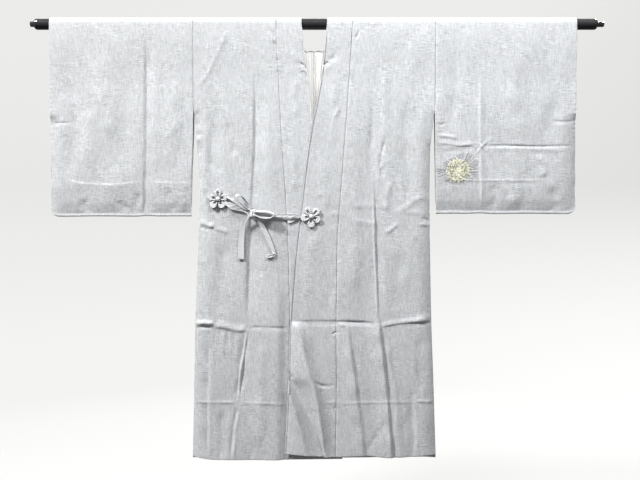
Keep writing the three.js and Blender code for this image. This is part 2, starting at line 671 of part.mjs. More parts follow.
// Five pointed petals of folded tape round a knob, flat behind where they are sewn on,
// or the same grown by a clearance
function rosette({ across, drop, proud, petals }, clearance = 0) {
  const back = -(BODY_DEPTH + proud + SEAM_GAP) + clearance;
  const grown = 2 * clearance;
  const top = ROSETTE_RINGS[0].height + ROSETTE_CROWN + grown;
  const points = [new THREE.Vector3(across, back - top, -drop)];
  const triangles = [];
  const spokes = petals.flatMap((petal, index) => {
    const before = petals[(index + petals.length - 1) % petals.length].turn;
    const after = petals[(index + 1) % petals.length].turn;
    const from = petal.turn - ((petal.turn - before + 720) % 360) / 2;
    const to = petal.turn + ((after - petal.turn + 720) % 360) / 2;
    return [-1, -0.72, -0.45, -0.2, 0, 0.2, 0.45, 0.72].map((share) => {
      const turn = share < 0 ? lerp(petal.turn, from, -share) : lerp(petal.turn, to, share);
      const outline = (1 - Math.abs(share) ** 1.6) ** 0.8;
      return { turn: degrees(turn), share, reach: lerp(ROSETTE_VALLEY, petal.reach, outline) };
    });
  });
  for (const ring of [...ROSETTE_RINGS, { share: 1, height: 0, dimple: 0 }]) {
    for (const spoke of spokes) {
      const knob = ring.share < 0.35 ? (ROSETTE_KNOB * ring.share) / 0.3 : 0;
      const bare = knob || lerp(ROSETTE_KNOB, spoke.reach, (ring.share - 0.3) / 0.7);
      const radius = bare + clearance;
      const fall = ring.share > 0.35 ? 2.6 * Math.abs(spoke.share) ** 3 : 0;
      const raised = Math.max(0, ring.height - ring.dimple * (1 - Math.abs(spoke.share)) - fall) + grown;
      const y = ring.height === 0 ? back : back - raised;
      const x = across + radius * Math.cos(spoke.turn);
      points.push(new THREE.Vector3(x, y, -drop + radius * Math.sin(spoke.turn)));
    }
  }
  points.push(new THREE.Vector3(across, back, -drop));
  const count = spokes.length;
  const rings = ROSETTE_RINGS.length + 1;
  for (let spoke = 0; spoke < count; spoke += 1) {
    const next = (spoke + 1) % count;
    triangles.push([0, 1 + next, 1 + spoke]);
    for (let ring = 0; ring < rings - 1; ring += 1) {
      const low = 1 + ring * count;
      const high = low + count;
      triangles.push([low + spoke, low + next, high + next], [low + spoke, high + next, high + spoke]);
    }
    const base = 1 + (rings - 1) * count;
    triangles.push([base + spoke, base + next, points.length - 1]);
  }
  return meshFrom(points, triangles);
}

// The knot of the bow: a soft cushion of tape, or the same grown by a clearance
function bowKnot(clearance = 0) {
  const geometry = new THREE.SphereGeometry(1, 16, 10);
  const position = geometry.attributes.position;
  const bulge = (value) => Math.sign(value) * Math.abs(value) ** 0.75;
  for (let index = 0; index < position.count; index += 1) {
    const x = bulge(position.getX(index)) * (KNOT.halfWidth + clearance);
    const y = bulge(position.getY(index)) * (KNOT.halfHeight + clearance);
    const z = bulge(position.getZ(index)) * (KNOT.halfDepth + clearance);
    position.setXYZ(index, x, z, y);
  }
  geometry.setIndex([...geometry.index.array].reverse());
  geometry.translate(KNOT.across, -(BODY_DEPTH + BODY_WALL / 2 + KNOT.proud), -KNOT.drop);
  return geometry;
}

// A flat tape with soft edges, swept through a table's rows
function tape(rows) {
  const front = BODY_DEPTH + BODY_WALL / 2;
  const curve = new THREE.CatmullRomCurve3(
    rows.map((row) => new THREE.Vector3(row.across, -(front + row.proud), -row.drop)),
    false,
    "centripetal",
  );
  const steps = (rows.length - 1) * TAPE_STEPS_PER_POINT;
  const section = [
    { across: -0.5, out: 0 },
    { across: -0.38, out: 0.5 },
    { across: 0.38, out: 0.5 },
    { across: 0.5, out: 0 },
    { across: 0.38, out: -0.5 },
    { across: -0.38, out: -0.5 },
  ];
  const numbered = rows.map((row, index) => ({ ...row, index }));
  const points = [];
  for (let step = 0; step <= steps; step += 1) {
    const at = (step / steps) * (rows.length - 1);
    const centre = curve.getPoint(step / steps);
    const tangent = curve.getTangent(step / steps);
    const flat = new THREE.Vector3(tangent.z, 0, -tangent.x).normalize();
    const lean = degrees(along(numbered, "index", "lean", at));
    const width = along(numbered, "index", "width", at);
    const wide = flat.multiplyScalar(Math.cos(lean)).add(new THREE.Vector3(0, -Math.sin(lean), 0));
    wide.addScaledVector(tangent, -wide.dot(tangent)).normalize();
    const thick = new THREE.Vector3().crossVectors(tangent, wide);
    for (const corner of section) {
      const point = centre.clone().addScaledVector(wide, corner.across * width);
      points.push(point.addScaledVector(thick, corner.out * TAPE_WALL));
    }
  }
  const around = section.length;
  const triangles = [];
  for (let step = 0; step < steps; step += 1) {
    for (let corner = 0; corner < around; corner += 1) {
      const next = (corner + 1) % around;
      const low = step * around;
      const high = low + around;
      triangles.push([low + corner, low + next, high + next], [low + corner, high + next, high + corner]);
    }
  }
  const end = steps * around;
  for (let corner = 1; corner < around - 1; corner += 1) {
    triangles.push([0, corner + 1, corner], [end, end + corner, end + corner + 1]);
  }
  return meshFrom(points, triangles);
}

// ---------------------------------------------------------------- the coat on its rod

const coat = new THREE.Group();

function addPiece(name, geometry, material) {
  const mesh = new THREE.Mesh(geometry, material);
  mesh.name = name;
  coat.add(mesh);
}

addPiece("rod", rod(), blackPaint);
addPiece("body_right", bodyPanel(RIGHT), silk);
addPiece("body_left", bodyPanel(LEFT), silk);
addPiece("band_right", band(RIGHT), silk);
addPiece("band_left", band(LEFT), silk);
addPiece("neck_lining", neckLining(), lining);
addPiece("sleeve_right", sleeve(RIGHT), silk);
addPiece("sleeve_left", sleeve(LEFT), silk);
for (const [name, sizes] of Object.entries(ROSETTES)) addPiece(name, rosette(sizes), silk);
addPiece("bow_knot", bowKnot(), silk);
const rosetteSpaces = Object.values(ROSETTES).map((sizes) => rosette(sizes, TIE_CLEARANCE));
const heldSpaces = [bowKnot(TIE_CLEARANCE), ...rosetteSpaces];
for (const [name, rows] of Object.entries(TAPES)) addPiece(name, cutAway(tape(rows), heldSpaces), silk);

export default coat;
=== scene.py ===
"""Kimono coat of pale silver silk on a black rod: the looks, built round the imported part.

Sizes are in millimetres until a mesh is made. "Across" is the distance from the coat's middle
towards the side that a panel lies on, and "drop" is how far a point hangs below the rod's axis.
The front faces -Y. Every cloth piece is a thin shell on the form of the solid that it replaces.
"""

import math

import bmesh
import bpy
import numpy as np
from mathutils import Matrix, Vector


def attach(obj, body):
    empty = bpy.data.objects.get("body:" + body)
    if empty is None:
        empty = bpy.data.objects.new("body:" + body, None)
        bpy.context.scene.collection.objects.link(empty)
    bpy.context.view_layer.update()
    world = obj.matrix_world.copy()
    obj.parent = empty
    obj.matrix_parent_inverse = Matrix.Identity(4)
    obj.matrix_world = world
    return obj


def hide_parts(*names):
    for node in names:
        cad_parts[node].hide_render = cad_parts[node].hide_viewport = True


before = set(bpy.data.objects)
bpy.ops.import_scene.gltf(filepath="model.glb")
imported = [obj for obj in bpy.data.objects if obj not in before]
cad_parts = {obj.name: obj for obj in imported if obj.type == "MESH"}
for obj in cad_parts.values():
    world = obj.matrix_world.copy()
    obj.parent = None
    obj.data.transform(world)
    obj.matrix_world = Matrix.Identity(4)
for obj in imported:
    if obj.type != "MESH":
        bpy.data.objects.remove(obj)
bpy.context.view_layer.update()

MM = 0.001
RIGHT, LEFT = -1, 1
FRONT, BACK = -1, 1
SIDE_NAMES = {RIGHT: "right", LEFT: "left"}

# ------------------------------------------------------------------ sizes of the part
ROD_RADIUS = 13.5
ROD_NECK_RADIUS = 6.75
ROD_CHAMFER = 3
ROD_NECK_FROM, ROD_FROM, ROD_TO, ROD_NECK_TO = -709, -698, 705, 723

SEAM_GAP = 0.3
BODY_WALL = 1.8
BAND_WALL = 2.2
LINING_WALL = 1.0
TAPE_WALL = 1.8
BODY_DEPTH = 8.5
SLEEVE_DEPTH = 7.5
SETTLE_DROP = 160

HEM_DROP = 1080
HEM_BLEND_FROM = 950
ARMPIT_DROP = 212
SLIT_END_DROP = 307
SLIT_CLOSURE = 0.5
CURL = 8
CREASE_SPREAD = 13
NECK_HALF_WIDTH = 95
NECK_DROP = 118
NECK_CORNER = 60
COLLAR_HALF_WIDTH = 31.5
COLLAR_DROP = 63
COLLAR_CORNER = 12
LEVEL_DROP = 420
NECK_ROW_DROPS = (0, NECK_DROP - NECK_CORNER, 150, 190)
BAND_BACK_RUN = 58
BAND_WIDTH = 110
LAP_LIFT = 2.7
LAP_SLOPE = 6
SIDE_TAPER = 34
SLEEVE_TAPER = 38
HEM_BEAD = 7
SEAM_DIP = 0.8
SEAM_RUN = 2.2

# drop: half width of the body on the right and on the left
BODY_WIDTHS = {
    "drop": (0, 212, 240, 307, 432, 510, 744, 854, 1087),
    "right": (301, 300.5, 297, 293, 286, 288.5, 297, 299, 303.5),
    "left": (301, 300, 297.5, 290, 288, 288.5, 292.5, 296.5, 303.5),
}

# Sewn edge and free edge of each front band, from the middle towards its own side
BAND_LINES = {
    "drop": (0, 65, 130, 190, 250, 330, 440, 540, 650, 765, 900, 1087),
    "right_seam": (95, 92.5, 89, 86.5, 83, 78, 70.7, 65.5, 62.5, 60.5, 59.5, 58),
    "right_edge": (31.5, 25, 17.5, 11.5, 5, -10, -24, -37, -47, -56, -62, -70),
    "left_seam": (95, 91, 87, 83, 78.7, 72.5, 64.3, 57, 55.5, 54, 55, 52),
    "left_edge": (31.5, 26, 18.5, 8, -4.5, -17.5, -31, -43.8, -54, -61, -64, -74),
}

HEMS = {
    "right": {"across": (58, 250, 303), "drop": (1085.5, 1085.5, 1079)},
    "left": {
        "across": (-74, -25, 40, 129, 182, 303),
        "drop": (1070.5, 1072.5, 1078.5, 1077, 1081, 1075.5),
    },
    "under": {"across": (-70, 58), "drop": (1084, 1085.5)},
    "back": {"across": (0, 303), "drop": (1087, 1083)},
}

# Where the long upright crease of each panel runs
UPRIGHTS = {
    "right_front": {
        "drop": (0, 140, 490, 757, 810, 862, 939, 1004, 1087),
        "across": (146, 146, 156, 163, 173, 181, 189, 201, 206),
    },
    "left_front": {
        "drop": (0, 300, 530, 747, 820, 892, 946, 1024, 1087),
        "across": (146, 148, 150.5, 158, 167, 177, 181, 188, 193),
    },
    "right_back": {"drop": (0, 500, 1087), "across": (150, 156, 168)},
    "left_back": {"drop": (0, 500, 1087), "across": (150, 150, 176)},
}

SLEEVES = {
    "right": dict(cuff_at=658, bottom=480.5, cuff_opening=249, free_edge=307, crease_at=417),
    "left": dict(cuff_at=652, bottom=474, cuff_opening=244, free_edge=303, crease_at=414),
}
SLEEVE_CORNER = 22
CUFF_BLEND = 24
SLEEVE_SETTLE = 120

LINING_FROM = 66.5
LINING_TO = 276
LINING_HALF_WIDTH = 78
LINING_INSET = BAND_WALL / 2 + SEAM_GAP + LINING_WALL / 2 + 0.5
LINING_PROUD = 2.2
SCALLOP = 17
SCALLOP_HEIGHT = 4

# One petal of a rosette: its half width from its root (share 0) to its tip (share 1)
PETAL_SHAPE = {
    "share": (0, 0.2, 0.42, 0.62, 0.8, 0.93, 1),
    "half_width": (2.0, 5.0, 8.0, 9.6, 7.6, 4.0, 0.6),
}
PETAL_ROOT = 3.5
PETAL_HEIGHT = 5.6
SLOT_DEPTH = 4.6
KNOB_RADIUS = 6.0
KNOB_HEIGHT = 10.6
TAPE_CRINKLE = 0.25

# ------------------------------------------------------------------ fineness of the meshes
ROD_ROWS = 14
ROD_SIDES = 72
STAGE_SIDES = 72
THREAD_SIDES = 5
WELD_DISTANCE = 1e-6

# ------------------------------------------------------------------ colours, linear
SILK_COLOUR = (0.42, 0.43, 0.442)
SATIN_COLOUR = (0.51, 0.52, 0.53)
LINING_COLOUR = (0.42, 0.415, 0.405)
# painted light: how strongly the neck lining glows, to lift the bands' shade on it
LINING_PAINTED_LIGHT = 0.4
IVORY_COLOUR = (0.70, 0.685, 0.53)
SILVER_COLOUR = (0.20, 0.205, 0.215)
PAINT_DARK = (0.012, 0.012, 0.013)
PAINT_LIGHT = (0.028, 0.028, 0.03)

# ------------------------------------------------------------------ stage, lights and camera, in metres
FLOOR_Z = -1.36
STAGE_RADIUS = 3.6
STAGE_HEIGHT = 3.4
STAGE_BEND = 1.2
KEY_POWER = 455
TOP_POWER = 27
STRIP_POWER = 4
CAMERA_DISTANCE = 1.75
CAMERA_X = 0.01425
CAMERA_Z = -0.5393
FOCAL_PIXELS = 700
FRAME_PIXELS = 640
SENSOR = 36

# ------------------------------------------------------------------ creases
# Each crease: its points (across, drop), its height out of the cloth (below zero it is a groove),
# and how fast it falls away on its two sides. An upright one lists its points downwards, so its
# first side is the outer one; a level one runs from the side inwards, so its first side is the
# lower one.
CREASES = {
    "right_front": (
        # the long pressed fold: a groove above, a fine ridge in a hollow below
        (((146, 120), (148, 300), (157, 490), (161, 600), (163, 752)), -3.8, 5, 20),
        (((168, 767), (173, 810), (181, 862), (186, 902), (189, 939)), 4.2, 2.2, 2.2),
        (((166, 764), (173, 810), (181, 862), (186, 902), (189, 939)), -3.2, 9, 9),
        (((190, 950), (201, 1004), (206, 1083)), -2.4, 5, 6),
        (((185, 950), (196, 1004), (200, 1083)), 1.8, 4, 4),
        # the old fold line round the hips
        (((302, 749), (276, 744), (249, 750)), 4.8, 4.5, 6),
        (((300, 759), (276, 756), (254, 757)), -1.9, 4, 4),
        (((250, 752), (225, 756), (195, 761), (167, 764)), 2.7, 4.5, 10),
        (((164, 757), (120, 756), (60, 757)), -1.1, 7, 2.4),
        (((214, 762), (213, 806)), -1.4, 2.2, 2.2),
        (((225, 764), (226, 820)), 1.3, 2.2, 2.2),
        (((236, 762), (235, 800)), -1.2, 2.4, 2.4),
        (((200, 766), (198, 812)), -1.3, 2.2, 2.6),
        # the lower fold line
        (((301, 941), (240, 943), (190, 944)), 1.0, 3, 3),
        (((186, 944), (130, 945), (60, 947)), 0.8, 3, 3),
        # the strip along the side, under the slit
        (((266, 772), (264, 900), (268, 1083)), -3.5, 20, 4),
        # wrinkles below the slit and at the rosette's side
        (((290, 496), (268, 500), (249, 509)), 3.4, 3.4, 8),
        (((247, 510), (232, 514), (213, 525)), 1.8, 4, 7),
        (((287, 508), (262, 512)), -1.9, 4, 4),
        (((284, 409), (268, 416)), 1.7, 4, 4),
        (((290, 588), (262, 596)), 0.9, 5, 7),
        # stitches that draw the cloth in along the slit
        (((297, 226), (282, 228)), -1.4, 3, 3),
        (((297, 250), (284, 251)), -1.6, 3, 3),
        (((296, 274), (280, 277)), -1.6, 3, 3),
        (((295, 289), (284, 289)), 1.4, 3, 3),
        (((292, 320), (276, 324)), -1.1, 4, 4),
        # soft hollows where the panel hangs loose
        (((253, 205), (256, 340), (250, 480)), -3.5, 10, 26),
        (((216, 243), (206, 290), (200, 336)), -1.8, 6, 9),
        (((222, 300), (212, 420), (216, 480)), 1.9, 22, 12),
        (((110, 190), (112, 420), (104, 640)), 1.9, 16, 26),
        (((232, 540), (226, 640), (234, 728)), -1.9, 14, 20),
        (((126, 790), (132, 900), (142, 1080)), 2.6, 24, 12),
        (((228, 960), (234, 1083)), -1.9, 8, 12),
        # the shoulder's slanting folds
        (((222, 33), (266, 131), (294, 165)), 1.3, 3.5, 3.5),
        (((210, 12), (226, 50)), 1.3, 3.5, 3.5),
        (((110, 10), (97, 40)), -2.2, 3, 3),
        (((116, 24), (100, 52)), 1.9, 3.5, 3.5),
        (((98, 46), (94, 58)), -1.9, 2.5, 2.5),
    ),
    "left_front": (
        # the long pressed fold, with a steep outer side in the skirt
        (((148, 420), (150, 532), (154, 640), (157, 744)), 2.4, 1.8, 2.4),
        (((151, 380), (154, 532), (158, 640), (161, 744)), -1.8, 14, 3),
        (
            (
                (156, 700), (161, 772), (167, 820), (172, 859),
                (181, 930), (185, 982), (192, 1083), (196, 1140),
            ),
            6.4, 3.4, 24,
        ),
        (((180, 790), (190, 860), (200, 910), (208, 960)), 2.4, 6, 5),
        (((205, 940), (208, 1000), (210, 1110)), 2.2, 12, 7),
        (((82, 735), (89, 814), (98, 882), (106, 948), (115, 996), (124, 1083), (130, 1140)), 4.6, 4, 22),
        (((176, 990), (153, 1032), (128, 1076)), -1.1, 4, 5),
        (((243, 900), (246, 1000), (243, 1110)), -2.6, 6, 12),
        # the old fold line: a groove, then a ridge up to the side
        (((158, 748), (77, 743), (15, 742), (-47, 742)), -2.7, 7, 3.2),
        (((76, 750), (60, 749)), 1.6, 4, 3),
        (((299, 738), (250, 742), (200, 747), (160, 753)), 2.4, 3, 7),
        (((299, 730), (276, 733), (254, 737)), 2.2, 6, 9),
        (((299, 742), (280, 745), (258, 748)), -1.6, 5, 3),
        # the lower fold line
        (((297, 941), (252, 941)), 1.3, 3, 3),
        (((250, 942), (150, 944), (60, 943)), 0.8, 3, 3),
        (((56, 943), (28, 942)), 0.9, 3, 3),
        # wrinkles below the slit, fanning in from the side
        (((276, 447), (268, 435), (248, 440), (230, 459), (204, 471)), 1.6, 4, 7),
        (((290, 473), (250, 472), (204, 474)), 1.1, 3, 5),
        (((290, 493), (282, 490), (270, 484)), -2.4, 4, 3),
        (((290, 505), (278, 500), (262, 502)), 2.0, 4, 4),
        (((208, 499), (193, 510), (177, 526)), 1.8, 4, 6),
        (((258, 520), (246, 532), (244, 560)), 0.8, 5, 5),
        (((160, 461), (124, 457), (86, 455)), 0.9, 3, 4),
        (((160, 452), (110, 449), (72, 446)), 0.6, 3, 3),
        (((160, 498), (128, 494), (96, 492)), 0.9, 9, 5),
        (((61, 476), (52, 475), (40, 476)), 1.2, 3, 4),
        # crumples down the middle of the panel
        (((176, 294), (166, 322)), -2.6, 3, 3),
        (((172, 314), (163, 340)), -2.2, 3, 3),
        (((170, 332), (161, 358)), -2.2, 3, 3),
        (((170, 360), (166, 380)), -2.6, 4, 4),
        (((178, 110), (172, 230), (176, 300)), 1.6, 10, 6),
        (((141, 130), (146, 260), (138, 400)), -1.9, 16, 8),
        (((186, 390), (178, 470)), 1.9, 7, 6),
        (((236, 190), (228, 330), (240, 450)), -2.2, 24, 14),
        (((104, 300), (98, 480), (104, 700)), 1.9, 14, 24),
        (((206, 560), (212, 720)), -1.9, 14, 20),
        (((262, 770), (268, 930)), -1.9, 16, 10),
        (((98, 0), (108, 16)), -2.1, 3, 3),
        (((112, 18), (104, 40)), -2.2, 3, 3),
        (((124, 8), (116, 22)), -1.6, 3, 3),
        (((146, 2), (138, 12)), -1.4, 3, 3),
        # small folds beside the facets of the lower corner, and long soft ones above them
        (((-66, 866), (-54, 884)), -2.3, 4, 4),
        (((50, 902), (20, 901), (8, 897), (-3, 888)), -2.2, 3.2, 3.2),
        (((58, 768), (44, 773)), -2.5, 2.4, 2.4),
        (((-2, 520), (-14, 640), (-22, 738)), 1.6, 14, 10),
        (((40, 560), (30, 730)), -1.4, 12, 14),
    ),
    "right_band": (
        (((36, 98), (24, 108), (8, 124)), -2.4, 2.4, 2.0),
        (((40, 108), (28, 118), (14, 130)), 0.9, 3, 2.4),
        (((30, 118), (14, 134)), -1.8, 2.4, 2.0),
        (((60, 72), (34, 98)), 1.2, 8, 5),
        (((56, 300), (44, 420)), 1.4, 10, 9),
        (((44, 130), (50, 240)), 1.3, 9, 8),
        (((66, 520), (52, 700)), 1.3, 9, 9),
    ),
    "left_band_top": (
        (((36, 98), (20, 104)), -2.0, 4, 2.2),
        (((58, 74), (36, 96)), -1.6, 8, 6),
        (((44, 106), (26, 118)), 0.5, 4, 3),
        (((52, 140), (44, 300)), 1.4, 10, 8),
        (((20, 330), (28, 470)), 1.4, 12, 9),
        (((60, 210), (52, 236)), 1.4, 4, 4),
        (((30, 420), (6, 432)), 0.9, 4, 5),
    ),
    "right_back": (
        (((154, 60), (156, 500), (166, 742)), 3.5, 16, 4),
        (((166, 758), (172, 940), (178, 1083)), 4.5, 4, 20),
        (((300, 742), (170, 748), (4, 745)), 3.2, 4.5, 6),
        (((292, 754), (150, 758), (30, 756)), -1.5, 4, 4),
        (((296, 941), (150, 944), (4, 942)), 1.4, 4, 4),
        (((290, 488), (262, 494), (226, 504)), 2.7, 4, 6),
        (((284, 504), (240, 514)), -1.7, 4, 4),
        (((60, 300), (66, 430), (70, 600)), 2.6, 20, 14),
        (((230, 240), (224, 330), (228, 460)), -2.9, 26, 14),
        (((80, 790), (94, 900), (106, 1083)), 3.8, 6, 22),
        (((250, 800), (244, 930), (240, 1083)), 2.9, 10, 18),
        (((120, 186), (70, 160), (18, 150)), 1.3, 12, 12),
        (((108, 200), (40, 190)), -0.8, 10, 10),
        (((40, 560), (36, 720)), -1.6, 12, 12),
    ),
    "left_back": (
        (((150, 80), (150, 500), (162, 742)), 3.2, 4, 16),
        (((162, 758), (172, 940), (184, 1083)), 4.2, 20, 4),
        (((296, 738), (170, 746), (4, 745)), 2.9, 4.5, 6),
        (((290, 750), (150, 757), (30, 756)), -1.5, 4, 4),
        (((292, 936), (150, 942), (4, 942)), 1.5, 4, 4),
        (((288, 480), (260, 490), (230, 496)), 2.5, 4, 6),
        (((82, 260), (76, 400), (70, 560)), -2.6, 14, 22),
        (((226, 300), (232, 420), (240, 560)), 2.4, 14, 24),
        (((110, 790), (104, 930), (98, 1083)), 3.5, 22, 6),
        (((256, 820), (260, 1083)), -2.6, 14, 14),
        (((128, 180), (70, 156), (18, 150)), 1.2, 12, 12),
        (((44, 600), (48, 720)), 1.6, 12, 12),
    ),
    "right_sleeve_front": (
        (((418, 20), (418, 130), (419, 300), (420, 400), (420, 560)), -3.4, 5, 16),
        (((655, 248), (628, 247), (598, 246)), -1.1, 6, 1.8),
        (((650, 254), (606, 252)), 0.2, 4, 3),
        (((628, 386), (583, 399), (508, 403), (424, 394)), 0.9, 14, 1.8),
        (((418, 396), (360, 398), (304, 397)), 0.4, 12, 2),
        (((572, 436), (566, 474)), -2.2, 10, 10),
        (((482, 440), (474, 476)), -2.6, 9, 9),
        (((440, 420), (444, 476)), -1.9, 8, 8),
        (((350, 120), (352, 240), (346, 380)), 1.9, 18, 18),
        (((520, 60), (524, 160), (512, 300)), 2.2, 26, 20),
        (((604, 120), (596, 300), (606, 390)), -2.6, 20, 16),
        (((560, 200), (556, 370)), 1.6, 16, 16),
        (((326, 230), (352, 270), (384, 300)), 0.6, 8, 10),
        (((360, 410), (352, 474)), -1.6, 9, 9),
        (((330, 420), (322, 470)), 1.6, 7, 9),
        (((470, 120), (466, 380)), -1.6, 18, 18),
    ),
    "left_sleeve_front": (
        (((414, 120), (414, 300), (416, 474)), 1.8, 9, 2.4),
        (((650, 305), (560, 306), (470, 304), (420, 306)), -1.7, 3.4, 2.4),
        (((648, 312), (560, 314), (424, 313)), 0.7, 5, 4),
        (((434, 322), (416, 307), (402, 292)), 1.5, 2.4, 2.4),
        (((434, 292), (416, 307), (402, 324)), 1.2, 2.4, 2.4),
        (((404, 301), (360, 303), (306, 297)), 1.5, 3, 7),
        (((356, 284), (330, 283), (305, 278)), 1.5, 3, 5),
        (((326, 254), (306, 250)), -1.3, 3, 3),
        (((400, 314), (350, 316), (310, 320)), -0.7, 5, 5),
        (((578, 391), (480, 390), (400, 391), (304, 389)), 0.8, 4, 2),
        (((560, 400), (450, 401)), -0.3, 5, 5),
        (((648, 245), (620, 244), (592, 243)), -1.2, 7, 1.8),
        (((646, 251), (600, 250)), 0.2, 4, 3),
        (((346, 60), (350, 170), (344, 280)), -2.2, 16, 20),
        (((500, 50), (506, 150), (500, 296)), 2.4, 24, 24),
        (((586, 90), (594, 200), (588, 298)), -2.2, 18, 22),
        (((560, 325), (572, 385)), 1.9, 12, 12),
        (((500, 398), (504, 470)), 2.2, 14, 14),
        (((600, 400), (604, 468)), -1.9, 14, 14),
        (((452, 400), (448, 470)), -1.8, 10, 12),
    ),
    "right_sleeve_back": (
        (((417, 120), (418, 480)), 3.2, 5, 14),
        (((600, 396), (450, 402), (306, 399)), 2.5, 4.5, 8),
        (((590, 410), (330, 412)), -1.3, 6, 6),
        (((644, 252), (596, 250)), -1.9, 3, 3),
        (((350, 100), (356, 360)), 2.1, 18, 18),
        (((540, 80), (530, 330)), 2.2, 22, 22),
        (((480, 420), (474, 474)), -1.9, 10, 10),
    ),
    "left_sleeve_back": (
        (((414, 120), (415, 474)), 3.2, 14, 5),
        (((640, 312), (480, 310), (320, 316)), 2.7, 4, 7),
        (((630, 324), (340, 326)), -1.4, 5, 5),
        (((570, 396), (430, 392), (306, 392)), 1.9, 4, 5),
        (((360, 90), (350, 300)), 2.1, 20, 20),
        (((540, 80), (548, 290)), 2.1, 22, 22),
        (((500, 400), (506, 470)), 1.9, 12, 12),
    ),
}

# The fold lines of the left front's lower corner: where each one runs and how far it stands out
CORNER_FOLDS = {
    "drop": (741, 755, 781, 826, 877, 908, 960, 1000, 1027, 1051, 1087),
    "edge": (-59.3, -59.8, -60.5, -62, -64.7, -64.8, -67.5, -69.8, -70.8, -72, -74),
    "edge_height": (0, 0, 0, 0, 0, 5.0, 1.8, 1, 1, 1, 1),
    "low": (-59.3, -59.8, -60.5, -62, -64.7, -64.7, -47.3, -36.5, -29.3, -25.5, -18),
    "low_height": (0, 0, 0, 0, 0, 5.6, 7.0, 6.6, 6.0, 5.4, 5),
    "valley": (-59.3, -59.8, -60.5, -62, -64.7, -45.5, -19.5, -3, 8, 19, 27),
    "valley_height": (0, 0, 0, 0, 0, -1.6, -1.6, -1.6, -1.4, -0.6, 1),
    "high": (-49, -43, -32.5, -23.2, -9.3, 1.0, 10, 15.5, 19.7, 22.0, 28),
    "high_height": (0, 3.2, 4.6, 5.4, 6.0, 5.6, 5.4, 5.2, 5.0, 4.6, 4.4),
}
FOLD_FALL = 34
FOLD_GAIN = 2.5

# ------------------------------------------------------------------ ties
# Columns: across, drop, proud of the right front, width, lean from flat (0) to on edge (90)
TAPES = {
    "tie_right_upper": (
        (-222, 431, 4.5, 7, 10),
        (-212, 434, 5.6, 7, 14),
        (-195, 444.5, 7, 9, 10),
        (-178, 456.5, 8, 9, 0),
        (-156, 468, 9, 8, 0),
    ),
    "tie_right_lower": (
        (-224, 446.5, 3.4, 9, 0),
        (-214, 451, 4.2, 11, 0),
        (-203, 456.5, 4.8, 16, -6),
        (-187, 461, 5.2, 13, -8),
        (-171, 467.5, 4.9, 8, 0),
        (-157, 476.5, 7, 7, 0),
    ),
    "bow_loop_right": (
        (-155, 463.5, 13.5, 9, 30),
        (-163, 450.5, 15, 13, 60),
        (-172.5, 438, 17, 14, 68),
        (-182.5, 429.5, 18.5, 14, 92),
        (-192, 431, 19, 13, 122),
        (-187.5, 441.5, 18.5, 11, 104),
        (-172, 457, 17, 9, 92),
        (-160.5, 465, 16, 8, 84),
    ),
    "bow_loop_left": (
        (-147, 469, 15.5, 9, 56),
        (-128, 469, 16.5, 12, 68),
        (-109, 471.5, 17, 12, 70),
        (-98.5, 478, 17, 12, 84),
        (-108, 484, 17, 11, 104),
        (-128, 484.5, 16.5, 10, 104),
        (-146, 478, 15.5, 8, 90),
    ),
    "tie_left": (
        (-24, 483.5, 6.6, 7, 0),
        (-36, 481, 7.6, 7, 8),
        (-60, 478.5, 8, 9, 6),
        (-90, 478, 7, 10, 4),
        (-120, 476.5, 6.6, 10, 0),
        (-146, 475, 9, 8, 0),
    ),
    "tie_left_under": (
        (-37.9, 485.5, 1.9, 6, 0),
        (-44, 485.5, 2, 8, 0),
        (-54, 489.5, 2.8, 10, 8),
        (-66, 495, 3, 8, -10),
    ),
    "bow_tail_right": (
        (-155, 471, 14, 8, 0),
        (-163, 480, 12.5, 9.5, 0),
        (-171, 491, 9.5, 11, 0),
        (-176.5, 505, 6.5, 13, 0),
        (-180, 528, 4.2, 14.5, 0),
        (-181.5, 587.5, 3, 15, 0),
    ),
    "bow_tail_left": (
        (-147, 481, 11, 7, 0),
        (-134.5, 496, 8, 11.5, 8),
        (-117, 529, 6, 12.5, 12),
        (-101.5, 567, 4.6, 11, 14),
        (-98.5, 574, 4.6, 9, 40),
        (-103.5, 578, 5.6, 8, 10),
        (-119, 580, 6, 8.5, 0),
    ),
}
KNOT = dict(across=-150.8, drop=474, proud=11.5, half_width=8.5, half_height=11, half_depth=8)

# Rosettes: where they are sewn on, and each petal's turn (anticlockwise from +X) and reach
ROSETTES = {
    "rosette_right": dict(
        across=-239,
        drop=438,
        proud=BODY_WALL / 2,
        petals=((15, 25), (90, 26), (165, 26.5), (230, 27), (303, 26)),
    ),
    "rosette_left": dict(
        across=-7,
        drop=481.5,
        proud=LAP_LIFT + BAND_WALL / 2,
        petals=((-27, 25), (45, 27), (125, 26), (190, 27.5), (268, 28)),
    ),
}

# The embroidered roundel on the left sleeve
ROUNDEL = dict(across=359, drop=367, ball=31, reach=54)
# inner and outer radius of each round of petals, as shares of the ball, and how many petals it has
PETAL_ROUNDS = ((0.0, 0.34, 6), (0.26, 0.58, 10), (0.5, 0.8, 15), (0.72, 1.0, 21))
EDGE_STROKES = 26
NEEDLES = 54

MATERIALS = {}


# ------------------------------------------------------------------ helpers


def smooth(value):
    share = np.clip(value, 0, 1)
    return share * share * (3 - 2 * share)


def lerp(low, high, share):
    return low + (high - low) * share


def between(column, *stops):
    """Runs evenly from stop to stop, one stop for each whole number of the column."""
    value = lerp(stops[0], stops[1], column)
    for number in range(1, len(stops) - 1):
        here = lerp(stops[number], stops[number + 1], column - number)
        value = np.where(column > number, here, value)
    return value


def hump(at, centre, width):
    return np.exp(-(((at - centre) / width) ** 2))


def fading(distance, run):
    """One at an edge, falling away from it."""
    return np.exp(-np.maximum(distance, 0) / run)


